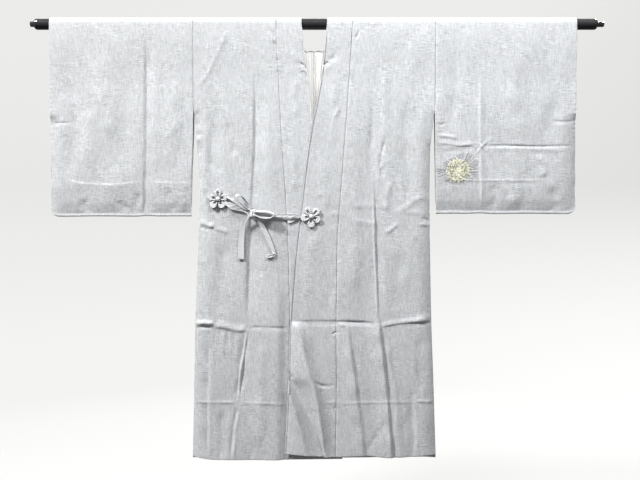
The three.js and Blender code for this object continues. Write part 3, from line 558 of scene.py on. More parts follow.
def along(table, key, column, at):
    """Smooth value of a table's column at values of its key column, for arrays too."""
    keys = np.asarray(table[key], float)
    values = np.asarray(table[column], float)
    before = np.r_[keys[0], keys[:-1]]
    after = np.r_[keys[1:], keys[-1]]
    slopes = (np.r_[values[1:], values[-1]] - np.r_[values[0], values[:-1]]) / (after - before)
    at = np.clip(at, keys[0], keys[-1])
    index = np.clip(np.searchsorted(keys, at, side="left") - 1, 0, len(keys) - 2)
    span = keys[index + 1] - keys[index]
    t = (at - keys[index]) / span
    start = (t**3 - 2 * t**2 + t) * span * slopes[index]
    end = (t**3 - t**2) * span * slopes[index + 1]
    return lerp(values[index], values[index + 1], 3 * t**2 - 2 * t**3) + start + end


def crest(off, first_side, second_side):
    """A pressed line's profile: nearly flat faces that fall away from a sharp top."""
    width = 1.3 * np.where(off > 0, first_side, second_side)
    soft = 0.18 * np.minimum(first_side, second_side) + 0.4
    left = 1 - (np.sqrt(off * off + soft * soft) - soft) / width
    return 0.5 * (left + np.sqrt(left * left + 0.03)) / 1.0074


def corner_folds(across, drop):
    """Flat facets between the fold lines of the left front's lower corner."""
    table = {name: along(CORNER_FOLDS, "drop", name, drop) for name in CORNER_FOLDS if name != "drop"}
    table["end"] = table["high"] + FOLD_FALL
    table["end_height"] = 0 * drop
    total = np.zeros_like(across, float)
    for shift in (-1, -0.5, 0, 0.5, 1):
        at = across + shift
        height = table["edge_height"]
        for first, second in (("edge", "low"), ("low", "valley"), ("valley", "high"), ("high", "end")):
            width = np.maximum(table[second] - table[first], 0.5)
            share = np.clip((at - table[first]) / width, 0, 1)
            if second == "end":
                share = 1 - (1 - share) ** 2
            height = height + (table[second + "_height"] - table[first + "_height"]) * share
        total += height / 5
    return FOLD_GAIN * total * smooth((drop - 738) / 8)


def nearest_on_line(points, across, drop):
    """Signed distance to a line, the share of the line at its nearest point, and how far past an end."""
    lengths = np.hypot(*(points[1:] - points[:-1]).T)
    starts = np.r_[0, np.cumsum(lengths)]
    nearest = np.full(across.shape, 1e9)
    off = np.zeros(across.shape)
    share = np.zeros(across.shape)
    beyond = np.zeros(across.shape)
    for index, length in enumerate(lengths):
        run = (points[index + 1] - points[index]) / length
        at = (across - points[index, 0]) * run[0] + (drop - points[index, 1]) * run[1]
        side = (across - points[index, 0]) * run[1] - (drop - points[index, 1]) * run[0]
        inside = np.clip(at, 0, length)
        distance = np.hypot(side, at - inside)
        closer = distance < nearest
        nearest = np.where(closer, distance, nearest)
        off = np.where(closer, side, off)
        share = np.where(closer, (starts[index] + inside) / starts[-1], share)
        beyond = np.where(closer, np.abs(at - inside), beyond)
    return off, share, beyond, starts[-1]


def crease_height(creases, across, drop):
    """Sum of listed creases, each with uneven height, soft ends and a wandering line."""
    total = np.zeros_like(across, float)
    for number, (points, height, first_side, second_side) in enumerate(creases):
        points = np.asarray(points, float)
        reach = 6 * max(first_side, second_side)
        low, high = points.min(0) - reach, points.max(0) + reach
        near = (across > low[0]) & (across < high[0]) & (drop > low[1]) & (drop < high[1])
        if not near.any():
            continue
        off, share, beyond, length = nearest_on_line(points, across[near], drop[near])
        size = min(first_side, second_side)
        wander = 0.3 * size * np.sin(share * (5 + number % 4) + 1.7 * number)
        taper = 0.12 + 0.88 * smooth(share / 0.2) * smooth((1 - share) / 0.2)
        uneven = 1 + 0.22 * np.sin(share * (9 + number % 5) + 2.3 * number)
        uneven = uneven + 0.14 * np.sin(share * length / 11 + number)
        end = np.exp(-((beyond / (1.6 * size)) ** 2))
        total[near] += height * taper * uneven * end * crest(off + wander, first_side, second_side)
    return total


def slow_waves(across, drop, seed, height):
    """The cloth's own soft unevenness, from a few long seeded waves."""
    random = np.random.default_rng(seed)
    total = np.zeros_like(across, float)
    for _ in range(7):
        length_across = random.uniform(60, 170)
        length_drop = random.uniform(150, 420)
        phase = random.uniform(0, 2 * np.pi, 2)
        wave = np.sin(2 * np.pi * across / length_across + phase[0] + 0.8 * np.sin(drop / length_drop))
        total += wave * np.sin(2 * np.pi * drop / length_drop + phase[1])
    return total * height / 3


def make_mesh(name, points, faces):
    """A mesh object from points in millimetres and faces, with its normals pointing out."""
    mesh = bpy.data.meshes.new(name)
    mesh.from_pydata([tuple(p) for p in np.asarray(points) * MM], [], [tuple(f) for f in faces])
    mesh.update()
    mesh.shade_smooth()
    obj = bpy.data.objects.new(name, mesh)
    bpy.context.collection.objects.link(obj)
    if signed_volume(mesh) < 0:
        mesh.flip_normals()
    return obj


def signed_volume(mesh):
    mesh.calc_loop_triangles()
    points = np.empty(len(mesh.vertices) * 3)
    mesh.vertices.foreach_get("co", points)
    corners = np.empty(len(mesh.loop_triangles) * 3, int)
    mesh.loop_triangles.foreach_get("vertices", corners)
    a, b, c = points.reshape(-1, 3)[corners.reshape(-1, 3)].transpose(1, 0, 2)
    return float(np.einsum("ij,ij->i", a, np.cross(b, c)).sum())


def border_ring(rows, columns):
    """Indices of a grid's border, once round."""
    first = list(range(columns))
    right = [r * columns + columns - 1 for r in range(1, rows)]
    last = [(rows - 1) * columns + c for c in range(columns - 2, -1, -1)]
    left = [r * columns for r in range(rows - 2, 0, -1)]
    return first + right + last + left


def ring_faces(count, sides, start=0):
    """Four-cornered faces between rings of points that follow each other."""
    faces = []
    for ring in range(count):
        for step in range(sides):
            after = (step + 1) % sides
            low, high = start + ring * sides, start + (ring + 1) * sides
            faces.append((low + step, low + after, high + after, high + step))
    return faces


def ball_directions(levels, turns):
    """Directions over a ball, ring by ring: across, up, and towards the front."""
    for level in range(levels + 1):
        polar = math.pi * level / levels
        for step in range(turns):
            angle = 2 * math.pi * step / turns
            yield math.sin(polar) * math.cos(angle), math.sin(polar) * math.sin(angle), math.cos(polar)


def circle(radius, sides):
    """Points round a circle."""
    angles = [2 * math.pi * step / sides for step in range(sides)]
    return [(radius * math.cos(angle), radius * math.sin(angle)) for angle in angles]


def closed_shell(name, outer, inner, rings=()):
    """Closes two grids of the same size along their borders, through rings of border points."""
    rows, columns = outer.shape[:2]
    count = rows * columns
    grid = np.arange(count).reshape(rows, columns)
    a, b, c, d = grid[:-1, :-1], grid[:-1, 1:], grid[1:, 1:], grid[1:, :-1]
    top = np.stack([a, b, c, d], -1).reshape(-1, 4)
    bottom = np.stack([a, d, c, b], -1).reshape(-1, 4) + count
    border = np.array(border_ring(rows, columns))
    levels = [border]
    points = [outer.reshape(-1, 3), inner.reshape(-1, 3)]
    start = 2 * count
    for ring in rings:
        levels.append(np.arange(len(border)) + start)
        points.append(ring)
        start += len(border)
    levels.append(border + count)
    sides = []
    for low, high in zip(levels[:-1], levels[1:]):
        sides.append(np.stack([np.roll(low, -1), low, high, np.roll(high, -1)], -1))
    faces = np.concatenate([top, bottom, *sides])
    return make_mesh(name, np.concatenate(points), faces.tolist())


def cloth_wall(name, surface, rows, columns, thickness):
    """A thin shell round a surface, with soft rounded edges."""
    step = 1e-3
    row, column = np.meshgrid(np.asarray(rows, float), np.asarray(columns, float), indexing="ij")
    middle = surface(row, column)

    def inward(grid):
        return lerp(grid, (grid.min() + grid.max()) / 2, 1e-4)

    def normals(at_row, at_column):
        along_row = surface(at_row, at_column + step) - surface(at_row, at_column - step)
        along_column = surface(at_row + step, at_column) - surface(at_row - step, at_column)
        return np.cross(along_row, along_column)

    normal = normals(row, column)
    weak = np.linalg.norm(normal, axis=-1) < 1e-9
    normal[weak] = normals(inward(row), inward(column))[weak]
    normal /= np.linalg.norm(normal, axis=-1, keepdims=True)
    return rounded_shell(name, middle, normal, thickness)


def rounded_shell(name, middle, normal, thickness):
    """A shell of even thickness round a grid of points, with rounded edges."""
    half = thickness / 2
    rows, columns = middle.shape[:2]
    r, c = np.meshgrid(np.arange(rows), np.arange(columns), indexing="ij")
    inner = middle[np.clip(r, 1, rows - 2), np.clip(c, 1, columns - 2)]
    outward = middle - inner
    outward /= np.maximum(np.linalg.norm(outward, axis=-1, keepdims=True), 1e-9)
    edge = (r == 0) | (r == rows - 1) | (c == 0) | (c == columns - 1)
    inset = middle - outward * half * edge[..., None]
    border = np.array(border_ring(rows, columns))
    ring_middle = middle.reshape(-1, 3)[border]
    ring_out = outward.reshape(-1, 3)[border]
    ring_normal = normal.reshape(-1, 3)[border]
    rings = []
    for angle in (50, 0, -50):
        turn = math.radians(angle)
        shift = ring_out * half * (math.cos(turn) - 1) + ring_normal * half * math.sin(turn)
        rings.append(ring_middle + shift)
    return closed_shell(name, inset + normal * half, inset - normal * half, rings)


def spaced(*stretches):
    """One list of positions from stretches (start, end, step), without repeats."""
    values = []
    for start, end, step in stretches:
        count = max(1, round((end - start) / step))
        values.extend(np.linspace(start, end, count + 1))
    return sorted(set(round(float(value), 4) for value in values))


# ------------------------------------------------------------------ how the cloth hangs


def quarter_run(thickness):
    return (ROD_RADIUS + SEAM_GAP + thickness / 2) * np.pi / 2


def over_rod(run, thickness):
    """Where a position along a length lies that hangs over the rod: front is before zero."""
    radius = ROD_RADIUS + SEAM_GAP + thickness / 2
    quarter = quarter_run(thickness)
    face = np.where(run < 0, FRONT, BACK)
    drop = np.maximum(0, np.abs(run) - quarter)
    turn = np.minimum(quarter, np.abs(run)) / radius
    return face, drop, radius, face * radius * np.sin(turn), radius * np.cos(turn)


def runs(front_drops, back_drops, thickness):
    """Positions along a length that hangs over the rod: front hem, over the rod, back hem."""
    quarter = quarter_run(thickness)
    front = [-(quarter + drop) for drop in reversed(front_drops)]
    over = [quarter * (2 * turn / ROD_ROWS - 1) for turn in range(1, ROD_ROWS)]
    return front + over + [quarter + drop for drop in back_drops]


def layer_depth(drop, radius, settled):
    return lerp(radius, settled, smooth(drop / SETTLE_DROP))


def hem_shift(table, across, drop):
    """How far the uneven hem draws a point down."""
    hem = along(table, "across", "drop", across)
    return (hem - HEM_DROP) * smooth((drop - HEM_BLEND_FROM) / (HEM_DROP - HEM_BLEND_FROM))


def lap_lift(across, drop):
    """The left front rises where it lies over the right one."""
    return LAP_LIFT * smooth((drop - 60) / 140) * (1 - smooth((across - 82) / 70))


def stack(x, y, z):
    return np.stack(np.broadcast_arrays(x, y, z), -1)


# ------------------------------------------------------------------ body


def side_closure(drop):
    """How far front and back are closed along the body's side: half sewn at the slit."""
    slit = SLIT_CLOSURE * smooth((drop - ARMPIT_DROP) / 28)
    return slit + (1 - SLIT_CLOSURE) * smooth((drop - SLIT_END_DROP + 20) / 25)


def neck_line(turn, half_span, depth, corner, shortfall):
    """The neck's rounded outline behind: down the side, round the corner, across."""
    straight = depth - corner
    angle = np.clip(turn - 1, 0, 1) * np.pi / 2
    across = half_span - corner + corner * np.cos(angle)
    across = np.where(turn <= 1, half_span, across)
    across = np.where(turn > 2, lerp(half_span - corner, shortfall, turn - 2), across)
    drop = np.where(turn <= 1, straight * turn, straight + corner * np.sin(angle))
    return across, np.where(turn > 2, depth, drop)


def back_border(drop):
    """The back panel's inner border: round the neck, then down the centre seam."""
    depth = NECK_DROP + SEAM_GAP
    turn = np.interp(drop, NECK_ROW_DROPS, (0, 1, 2, 3))
    half, corner = NECK_HALF_WIDTH + SEAM_GAP, NECK_CORNER + SEAM_GAP
    across, neck_drop = neck_line(turn, half, depth, corner, SEAM_GAP / 2)
    centre_at = NECK_ROW_DROPS[3]
    level = np.clip((drop - centre_at) / (LEVEL_DROP - centre_at), 0, 1)
    below = lerp(depth, np.maximum(drop, LEVEL_DROP), level)
    return np.where(drop > centre_at, SEAM_GAP / 2, across), np.where(drop > centre_at, below, neck_drop)


def folded_edge(distance, closure, run):
    """How far two layers stand apart near an edge where they meet: none at the edge itself."""
    share = np.clip(distance / run, 0, 1)
    return 1 - closure * (1 - share) ** 2


def body_surface(side):
    name = SIDE_NAMES[side]

    def surface(run, column):
        face, drop, radius, y, z = over_rod(run, BODY_WALL)
        front = face == FRONT
        edge = along(BODY_WIDTHS, "drop", name, drop)
        closure = side_closure(drop)
        crease_at = np.where(
            front,
            along(UPRIGHTS[name + "_front"], "drop", "across", drop),
            along(UPRIGHTS[name + "_back"], "drop", "across", drop),
        )
        seam = along(BAND_LINES, "drop", name + "_seam", drop) + SEAM_GAP
        back_across, back_drop = back_border(drop)
        border_across = np.where(front, seam, back_across)
        border_drop = np.where(front, drop, back_drop)
        outer, inner = crease_at + CREASE_SPREAD, crease_at - CREASE_SPREAD
        across = between(column, edge, edge - CURL, outer, inner, border_across)
        reach = np.clip((edge - across) / (edge - border_across), 0, 1)
        hang = np.where(drop > 0, lerp(drop, border_drop, reach), 0)
        apart = folded_edge(edge - across, closure, SIDE_TAPER)
        relief = np.where(
            front,
            body_relief(side, FRONT, across, hang, edge, across - border_across),
            body_relief(side, BACK, across, hang, edge, across - border_across),
        )
        depth = layer_depth(hang, radius, BODY_DEPTH)
        least = BODY_WALL / 2 + SEAM_GAP / 2
        depth = least + (depth - least) * apart + relief * (1 - 0.75 * closure * (apart < 1) * (1 - apart))
        if side == LEFT:
            depth = depth + front * lap_lift(across, hang)
        depth = np.maximum(depth, least)
        shift = np.where(
            front, hem_shift(HEMS[name], across, hang), hem_shift(HEMS["back"], across, hang)
        )
        hung = drop > 0
        return stack(side * across, np.where(hung, face * depth, y), np.where(hung, -(hang + shift), z))

    return surface


def body_relief(side, face, across, drop, edge, from_border):
    """How far creases, puckers and seams stand out of a body panel."""
    panel = SIDE_NAMES[side] + ("_front" if face == FRONT else "_back")
    relief = crease_height(CREASES[panel], across, drop)
    seed = 11 + 3 * (side == LEFT) + 7 * (face == BACK)
    relief = relief + slow_waves(across, drop, seed, 0.8) * smooth((edge - across) / 30)
    sewn = fading(edge - across, 7) * smooth((drop - SLIT_END_DROP) / 60)
    relief = relief + np.sin(drop / 5.1 + 2 * np.sin(drop / 37)) * 0.35 * sewn
    drawn = fading(from_border, 9) * smooth((drop - 20) / 60)
    relief = relief + 0.3 * drawn * np.sin(drop / 6.2 + 1.7 * np.sin(drop / 53))
    if face == FRONT and side == RIGHT:
        # under the other front's band the panel lies flat, and beside it slopes down to it
        under = (1 - smooth((across - 66) / 34)) * smooth((drop - 400) / 60)
        relief = lerp(relief, np.minimum(relief, 0.3), under)
        rise = smooth((across - 69) / 24) * (1 - 0.6 * smooth((across - 95) / 70))
        relief = relief + LAP_SLOPE * rise * smooth((drop - 560) / 180)
    seam = SEAM_DIP * fading(from_border, SEAM_RUN)
    return relief * smooth(drop / 45) - seam * smooth(drop / 20)


def body_panel(side):
    columns = spaced((0, 1, 1 / 6), (1, 2, 1 / 36), (2, 3, 1 / 16), (3, 4, 1 / 30))
    front = spaced(
        (0, 480, 4.5), (480, 522, 2.2), (522, 722, 4.5), (722, 776, 1.8), (776, 930, 4.5), (930, 956, 2.2),
        (956, HEM_DROP, 4.2),
    )
    # the rows that bound the neck's rounded outline, then evenly down
    neck = spaced((0, 58, 6), (58, 150, 5), (150, 190, 5))
    back = spaced(
        (190, 480, 7.5), (480, 520, 3.5), (520, 730, 7.5), (730, 764, 2.5), (764, 934, 7.5),
        (934, 952, 3), (952, HEM_DROP, 7.5),
    )
    rows = runs(front, neck + back[1:], BODY_WALL)
    return cloth_wall(f"body_{SIDE_NAMES[side]}_cloth", body_surface(side), rows, columns, BODY_WALL)


# ------------------------------------------------------------------ bands and collar


def band_surface(side):
    name = SIDE_NAMES[side]

    def surface(run, column):
        face, drop, radius, y, z = over_rod(run, BAND_WALL)
        front = face == FRONT
        seam = along(BAND_LINES, "drop", name + "_seam", drop)
        free = along(BAND_LINES, "drop", name + "_edge", drop)
        across = lerp(seam, free, column)
        depth = layer_depth(drop, radius, BODY_DEPTH) + band_relief(side, across, drop, column)
        if side == LEFT:
            depth = depth + lap_lift(across, drop)
        shift = hem_shift(HEMS["left" if side == LEFT else "under"], across, drop)
        turn = drop / BAND_BACK_RUN
        outer = neck_line(turn, NECK_HALF_WIDTH, NECK_DROP, NECK_CORNER, SEAM_GAP / 2)
        inner = neck_line(turn, COLLAR_HALF_WIDTH, COLLAR_DROP, COLLAR_CORNER, SEAM_GAP / 2)
        back_across = lerp(outer[0], inner[0], column)
        back_hang = lerp(outer[1], inner[1], column)
        scallop = 0.9 * np.sin(back_across / 2.9 + side) * smooth(turn - 1) * column**3
        back_depth = layer_depth(back_hang, radius, BODY_DEPTH)
        ruffle = 0.7 * np.sin(back_across / 5.3 + turn) * smooth(turn)
        back_depth = back_depth + ruffle * (1 - column) * column * 4
        hung = drop > 0
        x = np.where(front | ~hung, across, back_across)
        y = np.where(hung, np.where(front, -depth, back_depth), y)
        z = np.where(hung, np.where(front, -(drop + shift), -(back_hang + scallop)), z)
        return stack(side * x, y, z)

    return surface


def band_relief(side, across, drop, column):
    """How far creases, facets, the fold's rim and the seam stand out of a band."""
    if side == RIGHT:
        relief = crease_height(CREASES["right_band"], across, drop)
        relief = relief * (1 - smooth((drop - 600) / 60)) * smooth((across - 4) / 10)
    else:
        relief = crease_height(CREASES["left_front"], across, drop) + corner_folds(across, drop)
        relief = relief + crease_height(CREASES["left_band_top"], across, drop)
        relief = relief + slow_waves(across, drop, 14, 0.7)
        relief = np.where(drop > 480, np.maximum(relief, -0.7 + 0.25 * relief), relief)
    # a fine rim on the fold where the strip is pressed double, and its sewn edge
    from_fold = (1 - column) * BAND_WIDTH
    rolled = 1.7 * hump(from_fold, 0.6, 1.8)
    rolled = rolled - 0.5 * hump(from_fold, 4.2, 1.8)
    sewn = np.exp(-column * BAND_WIDTH / 9)
    drawn = 0.3 * sewn * np.sin(drop / 5.7 + 1.3 * np.sin(drop / 43))
    seam = SEAM_DIP * np.exp(-column * BAND_WIDTH / SEAM_RUN)
    return (relief + rolled + drawn) * smooth(drop / 45) - seam * smooth(drop / 20)


def band(side):
    """One front band: from its hem over the shoulder to the centre of the neck behind."""
    step, column_step = (2.6, 0.0184) if side == LEFT else (5, 0.0275)
    columns = spaced((0, 0.06, 0.0125), (0.06, 0.94, column_step), (0.94, 1, 0.0086))
    front = spaced((0, 90, 4.5), (90, 136, 2.2), (136, 722, 4.5), (722, 776, 1.8), (776, HEM_DROP, step))
    back = spaced((0, 3 * BAND_BACK_RUN, 3))
    rows = runs(front, back, BAND_WALL)
    return cloth_wall(f"band_{SIDE_NAMES[side]}_cloth", band_surface(side), rows, columns, BAND_WALL)


def neck_opening(drop):
    """How far the bands' free edges stand from the middle, on the right and on the left."""
    return (
        along(BAND_LINES, "drop", "right_edge", drop),
        along(BAND_LINES, "drop", "left_edge", drop),
    )


def neck_lining():
    """The white lining that shows in the neck, finely gathered, with a scalloped upper edge."""
    radius = ROD_RADIUS + SEAM_GAP + BAND_WALL / 2

    def surface(drop, across):
        depth = layer_depth(drop, radius, BODY_DEPTH) - LINING_INSET
        fade = 1 - 0.5 * smooth((drop - 90) / 150)
        gather = np.sin(across / 1.05 + 0.5 * np.sin(drop / 33)) + 0.8 * np.sin(across / 2.6 + drop / 70)
        proud = LINING_PROUD + 0.5 * gather * fade
        proud = proud + 1.1 * hump(across, 1, 1.5)
        # it sinks in a sharp hollow along the bands' free edges
        right, left = neck_opening(drop)
        proud = proud - 1.6 * hump(across + right, 1.5, 1.8)
        proud = proud - 1.6 * hump(across - left, -1.5, 1.8)
        scallop = SCALLOP_HEIGHT * (np.abs(np.sin(np.pi * across / SCALLOP)) - 0.5)
        return stack(across, depth - proud, scallop * (1 - smooth((drop - LINING_FROM) / 12)) - drop)

    rows = spaced((LINING_FROM, 130, 2.8), (130, LINING_TO, 5))
    columns = spaced((-LINING_HALF_WIDTH, -34, 4), (-34, 34, 1), (34, LINING_HALF_WIDTH, 4))
    return cloth_wall("neck_lining_cloth", surface, rows, columns, LINING_WALL)


# ------------------------------------------------------------------ sleeves


def sleeve_surface(side):
    name = SIDE_NAMES[side]
    sizes = SLEEVES[name]
    bottom, cuff_at, crease_at = sizes["bottom"], sizes["cuff_at"], sizes["crease_at"]
    curl_run = CURL * np.pi / 2
    full_run = quarter_run(BODY_WALL) + bottom - CURL + curl_run

    def surface(run, column):
        face, straight, radius, y, z = over_rod(run, BODY_WALL)
        left = full_run - np.abs(run)
        bottom_turn = np.minimum(left / CURL, np.pi / 2)
        in_curl = left < curl_run
        drop = np.where(in_curl, bottom - CURL * (1 - np.cos(bottom_turn)), straight)
        armhole = along(BODY_WIDTHS, "drop", name, np.minimum(drop, ARMPIT_DROP)) + SEAM_GAP
        share = smooth((drop - ARMPIT_DROP) / (bottom - ARMPIT_DROP))
        inner = lerp(armhole, sizes["free_edge"], share)
        closure = smooth((drop - sizes["cuff_opening"] + CUFF_BLEND) / CUFF_BLEND)
        before, after = crease_at - CREASE_SPREAD, crease_at + CREASE_SPREAD
        across = between(column, inner, before, after, cuff_at - CURL, cuff_at)
        apart = folded_edge(cuff_at - across, closure, SLEEVE_TAPER)
        apart = apart * folded_edge(np.maximum(bottom - drop - HEM_BEAD, 0), 1, SLEEVE_TAPER - HEM_BEAD)
        settled = lerp(BODY_DEPTH, SLEEVE_DEPTH, smooth((drop - ARMPIT_DROP) / SLEEVE_SETTLE))
        least = BODY_WALL / 2 + SEAM_GAP / 2
        depth = layer_depth(drop, radius, settled)
        front = face == FRONT
        relief = np.where(
            front,
            sleeve_relief(side, FRONT, across, drop, inner),
            sleeve_relief(side, BACK, across, drop, inner),
        )
        depth = least + (depth - least) * apart + relief * np.minimum(1, 0.2 + apart)
        # a fine bead along the lower edge
        depth = depth + 1.5 * hump(bottom - drop, 0.45 * HEM_BEAD, 2.2)
        depth = np.maximum(depth, least * np.minimum(1, (bottom - drop) / 1.2 + 0.05))
        x, from_bottom = round_corner(cuff_at - across, bottom - drop)
        pucker = cuff_pucker(side, drop) * np.clip(1 - (cuff_at - across) / 16, 0, 1) ** 2
        x = x + pucker * closure
        hung = straight > 0
        y = np.where(hung, face * depth, y)
        low = smooth((drop - bottom + 60) / 60)
        rise = (1.8 * hump(across, crease_at, 20) - 0.5 * np.sin(across / 31)) * low
        z = np.where(hung, from_bottom - bottom + rise, z)
        return stack(side * np.where(hung, cuff_at - x, across), y, z)

    return surface


def cuff_pucker(side, drop):
    """The hand-sewn cuff edge draws in at every stitch, unevenly."""
    stitch = np.sin(drop / 3.9 + 0.7 * np.sin(drop / 23 + side)) ** 6
    slow = 0.5 + 0.5 * np.sin(drop / 17 + 2 * np.sin(drop / 61) + side)
    stitched = smooth((drop - 90) / 60) * (0.45 + 0.55 * slow) * (1 - 0.5 * smooth((drop - 300) / 60))
    return 1.0 * stitch * stitched + 1.0 * slow * smooth((drop - 300) / 60)


def sleeve_relief(side, face, across, drop, inner):
    """How far creases, puckers and seams stand out of a sleeve."""
    name = SIDE_NAMES[side]
    sizes = SLEEVES[name]
    panel = name + "_sleeve" + ("_front" if face == FRONT else "_back")
    relief = crease_height(CREASES[panel], across, drop)
    seed = 31 + 5 * (side == LEFT) + 9 * (face == BACK)
    relief = relief + slow_waves(across, drop, seed, 0.8) * smooth((sizes["cuff_at"] - across) / 30)
    # below the old fold line the bag's lower end leans back a little
    relief = relief - 2.6 * smooth((drop - 400) / 60) * (face == FRONT)
    # the hand-sewn edge pulls the cloth into small even puckers
    sewn = fading(sizes["cuff_at"] - across, 7)
    relief = relief - 1.2 * sewn * cuff_pucker(side, drop)
    from_seam = np.maximum(across - inner, 0)
    armhole = np.exp(-from_seam / 8) * smooth((ARMPIT_DROP + 20 - drop) / 30)
    relief = relief + 0.35 * armhole * np.sin(drop / 6.3)
    # small uneven waves above the lower edge
    above = np.maximum(sizes["bottom"] - drop, 0)
    relief = relief + 0.35 * np.exp(-above / 9) * np.sin(across / 5.2 + 2 * np.sin(across / 41))
    seam = SEAM_DIP * np.exp(-from_seam / SEAM_RUN) * smooth((ARMPIT_DROP + 4 - drop) / 8)
    return relief * smooth(drop / 45) - seam * smooth(drop / 20)


def round_corner(from_cuff, from_bottom):
    """Moves points near the sleeve's lower outer corner so that the corner is round."""
    near = (from_cuff < SLEEVE_CORNER) & (from_bottom < SLEEVE_CORNER)
    p = np.where(near, 1 - from_cuff / SLEEVE_CORNER, 0)
    q = np.where(near, 1 - from_bottom / SLEEVE_CORNER, 0)
    round_cuff = SLEEVE_CORNER * (1 - p * np.sqrt(1 - q * q / 2))
    round_bottom = SLEEVE_CORNER * (1 - q * np.sqrt(1 - p * p / 2))
    return np.where(near, round_cuff, from_cuff), np.where(near, round_bottom, from_bottom)


def sleeve(side):
    sizes = SLEEVES[SIDE_NAMES[side]]
    straight = sizes["bottom"] - CURL
    curl_run = CURL * math.pi / 2
    curl_to = straight + curl_run
    columns = spaced((0, 1, 1 / 32), (1, 2, 1 / 14), (2, 3, 1 / 60), (3, 4, 1 / 6))
    if side == RIGHT:
        stretches = ((0, 150, 4.8), (150, 300, 2), (300, 382, 4), (382, 412, 1.6), (412, straight - 12, 4.5))
    else:
        stretches = (
            (0, 150, 4.8), (150, 296, 2), (296, 318, 1.4), (318, 382, 4), (382, 400, 1.6),
            (400, straight - 12, 4.5),
        )
    stretches = (*stretches, (straight - 12, straight, 1.5))
    rows = spaced(*stretches, (straight, curl_to, curl_run / 6))
    back = spaced((0, straight, 6.2), (straight, curl_to, curl_run / 6))
    all_rows = runs(rows, back, BODY_WALL)
    return cloth_wall(f"sleeve_{SIDE_NAMES[side]}_cloth", sleeve_surface(side), all_rows, columns, BODY_WALL)


# ------------------------------------------------------------------ rosettes


def petal_grids(turn, reach, number):
    """Top and bottom grids of one petal: folded tape with flat walls round a narrow slot."""
    u, v = np.meshgrid(np.linspace(0, 1, 37), np.linspace(-1, 1, 37), indexing="ij")
    half = along(PETAL_SHAPE, "share", "half_width", u)
    out = lerp(PETAL_ROOT, reach, u)
    side = v * half
    # the slot is longest in the petals that point up
    slot_end = 0.56 + 0.16 * (math.sin(math.radians(turn)) > 0.3)
    # a slot on both sides of a low core, as a doubled tape leaves it
    slot = hump(np.abs(side), 1.5, 1.4) * smooth((slot_end - u) / 0.16) * smooth(u / 0.1)
    walls = 0.7 * hump(np.abs(side), 4.6, 1.5) * smooth((slot_end + 0.1 - u) / 0.2)
    tip = 0.5 * hump(u, 0.86, 0.1)
    lean = 0.8 * v * math.cos(2.1 * number + 0.6)
    height = PETAL_HEIGHT + walls + tip + lean - SLOT_DEPTH * slot
    height = height * smooth((1 - np.abs(v)) / 0.16 + 0.04) ** 0.5
    height = height * smooth((1 - u) / 0.07 + 0.12) ** 0.5
    angle = math.radians(turn)
    x = out * math.cos(angle) - side * math.sin(angle)
    z = out * math.sin(angle) + side * math.cos(angle)
    top = stack(x, -height, z)
    return top, stack(x, 0 * height - 0.02 * (number + 1), z)


def knob_mesh(name):
    """The round knot in a rosette's middle, with a soft turn of tape across it."""
    turns, levels = 40, 20
    points = []
    for x, z, up in ball_directions(levels, turns):
        groove = 0.045 * math.cos(5 * (x * 0.8 + z * 0.6) + 2.2 * up)
        radius = KNOB_RADIUS * (1 + groove)
        out = KNOB_HEIGHT / 2 + 0.3 + up * KNOB_HEIGHT / 2 * (1 + groove)
        points.append((x * radius, -out, z * radius))
    obj = make_mesh(name, points, ring_faces(levels, turns))
    weld(obj)
    return obj


def weld(obj):
    mesh = bmesh.new()
    mesh.from_mesh(obj.data)
    bmesh.ops.remove_doubles(mesh, verts=mesh.verts, dist=WELD_DISTANCE)
    bmesh.ops.recalc_face_normals(mesh, faces=mesh.faces)
    mesh.to_mesh(obj.data)
    mesh.free()
    obj.data.shade_smooth()


def join(objects, name):
    for obj in bpy.context.selected_objects:
        obj.select_set(False)
    for obj in objects:
        obj.select_set(True)
    bpy.context.view_layer.objects.active = objects[0]
    bpy.ops.object.join()
    objects[0].name = name
    objects[0].data.name = name
    return objects[0]


def move_points(obj, shift):
    obj.data.transform(Matrix.Translation(Vector(shift) * MM))


def rosette(name, sizes):
    """Five petals of folded tape round a knob, joined in one piece."""
    parts = []
    for number, (turn, reach) in enumerate(sizes["petals"]):
        top, bottom = petal_grids(turn, reach, number)
        parts.append(closed_shell(f"{name}_petal", top, bottom))
    parts.append(knob_mesh(f"{name}_knob"))
    whole = join(parts, f"{name}_cloth")
    back = -(BODY_DEPTH + sizes["proud"] + SEAM_GAP)
    move_points(whole, (sizes["across"], back, -sizes["drop"]))
    return whole


# ------------------------------------------------------------------ ties and bow


def spline(points, count):
    """Centripetal Catmull-Rom through points, sampled evenly in its parameter."""
    points = np.asarray(points, float)
    first = 2 * points[0] - points[1]
    last = 2 * points[-1] - points[-2]
    ends = np.vstack([first, points, last])
    result = []
    for at in np.linspace(0, len(points) - 1, count):
        index = min(int(at), len(points) - 2)
        p = ends[index : index + 4]
        knots = [0.0]
        for a, b in zip(p[:-1], p[1:]):
            knots.append(knots[-1] + max(np.linalg.norm(b - a) ** 0.5, 1e-6))
        t = lerp(knots[1], knots[2], at - index)
        line = [
            ((knots[i + 1] - t) * p[i] + (t - knots[i]) * p[i + 1]) / (knots[i + 1] - knots[i])
            for i in range(3)
        ]
        curve = [
            ((knots[i + 2] - t) * line[i] + (t - knots[i]) * line[i + 1]) / (knots[i + 2] - knots[i])
            for i in range(2)
        ]
        result.append(((knots[2] - t) * curve[0] + (t - knots[1]) * curve[1]) / (knots[2] - knots[1]))
    return np.array(result)


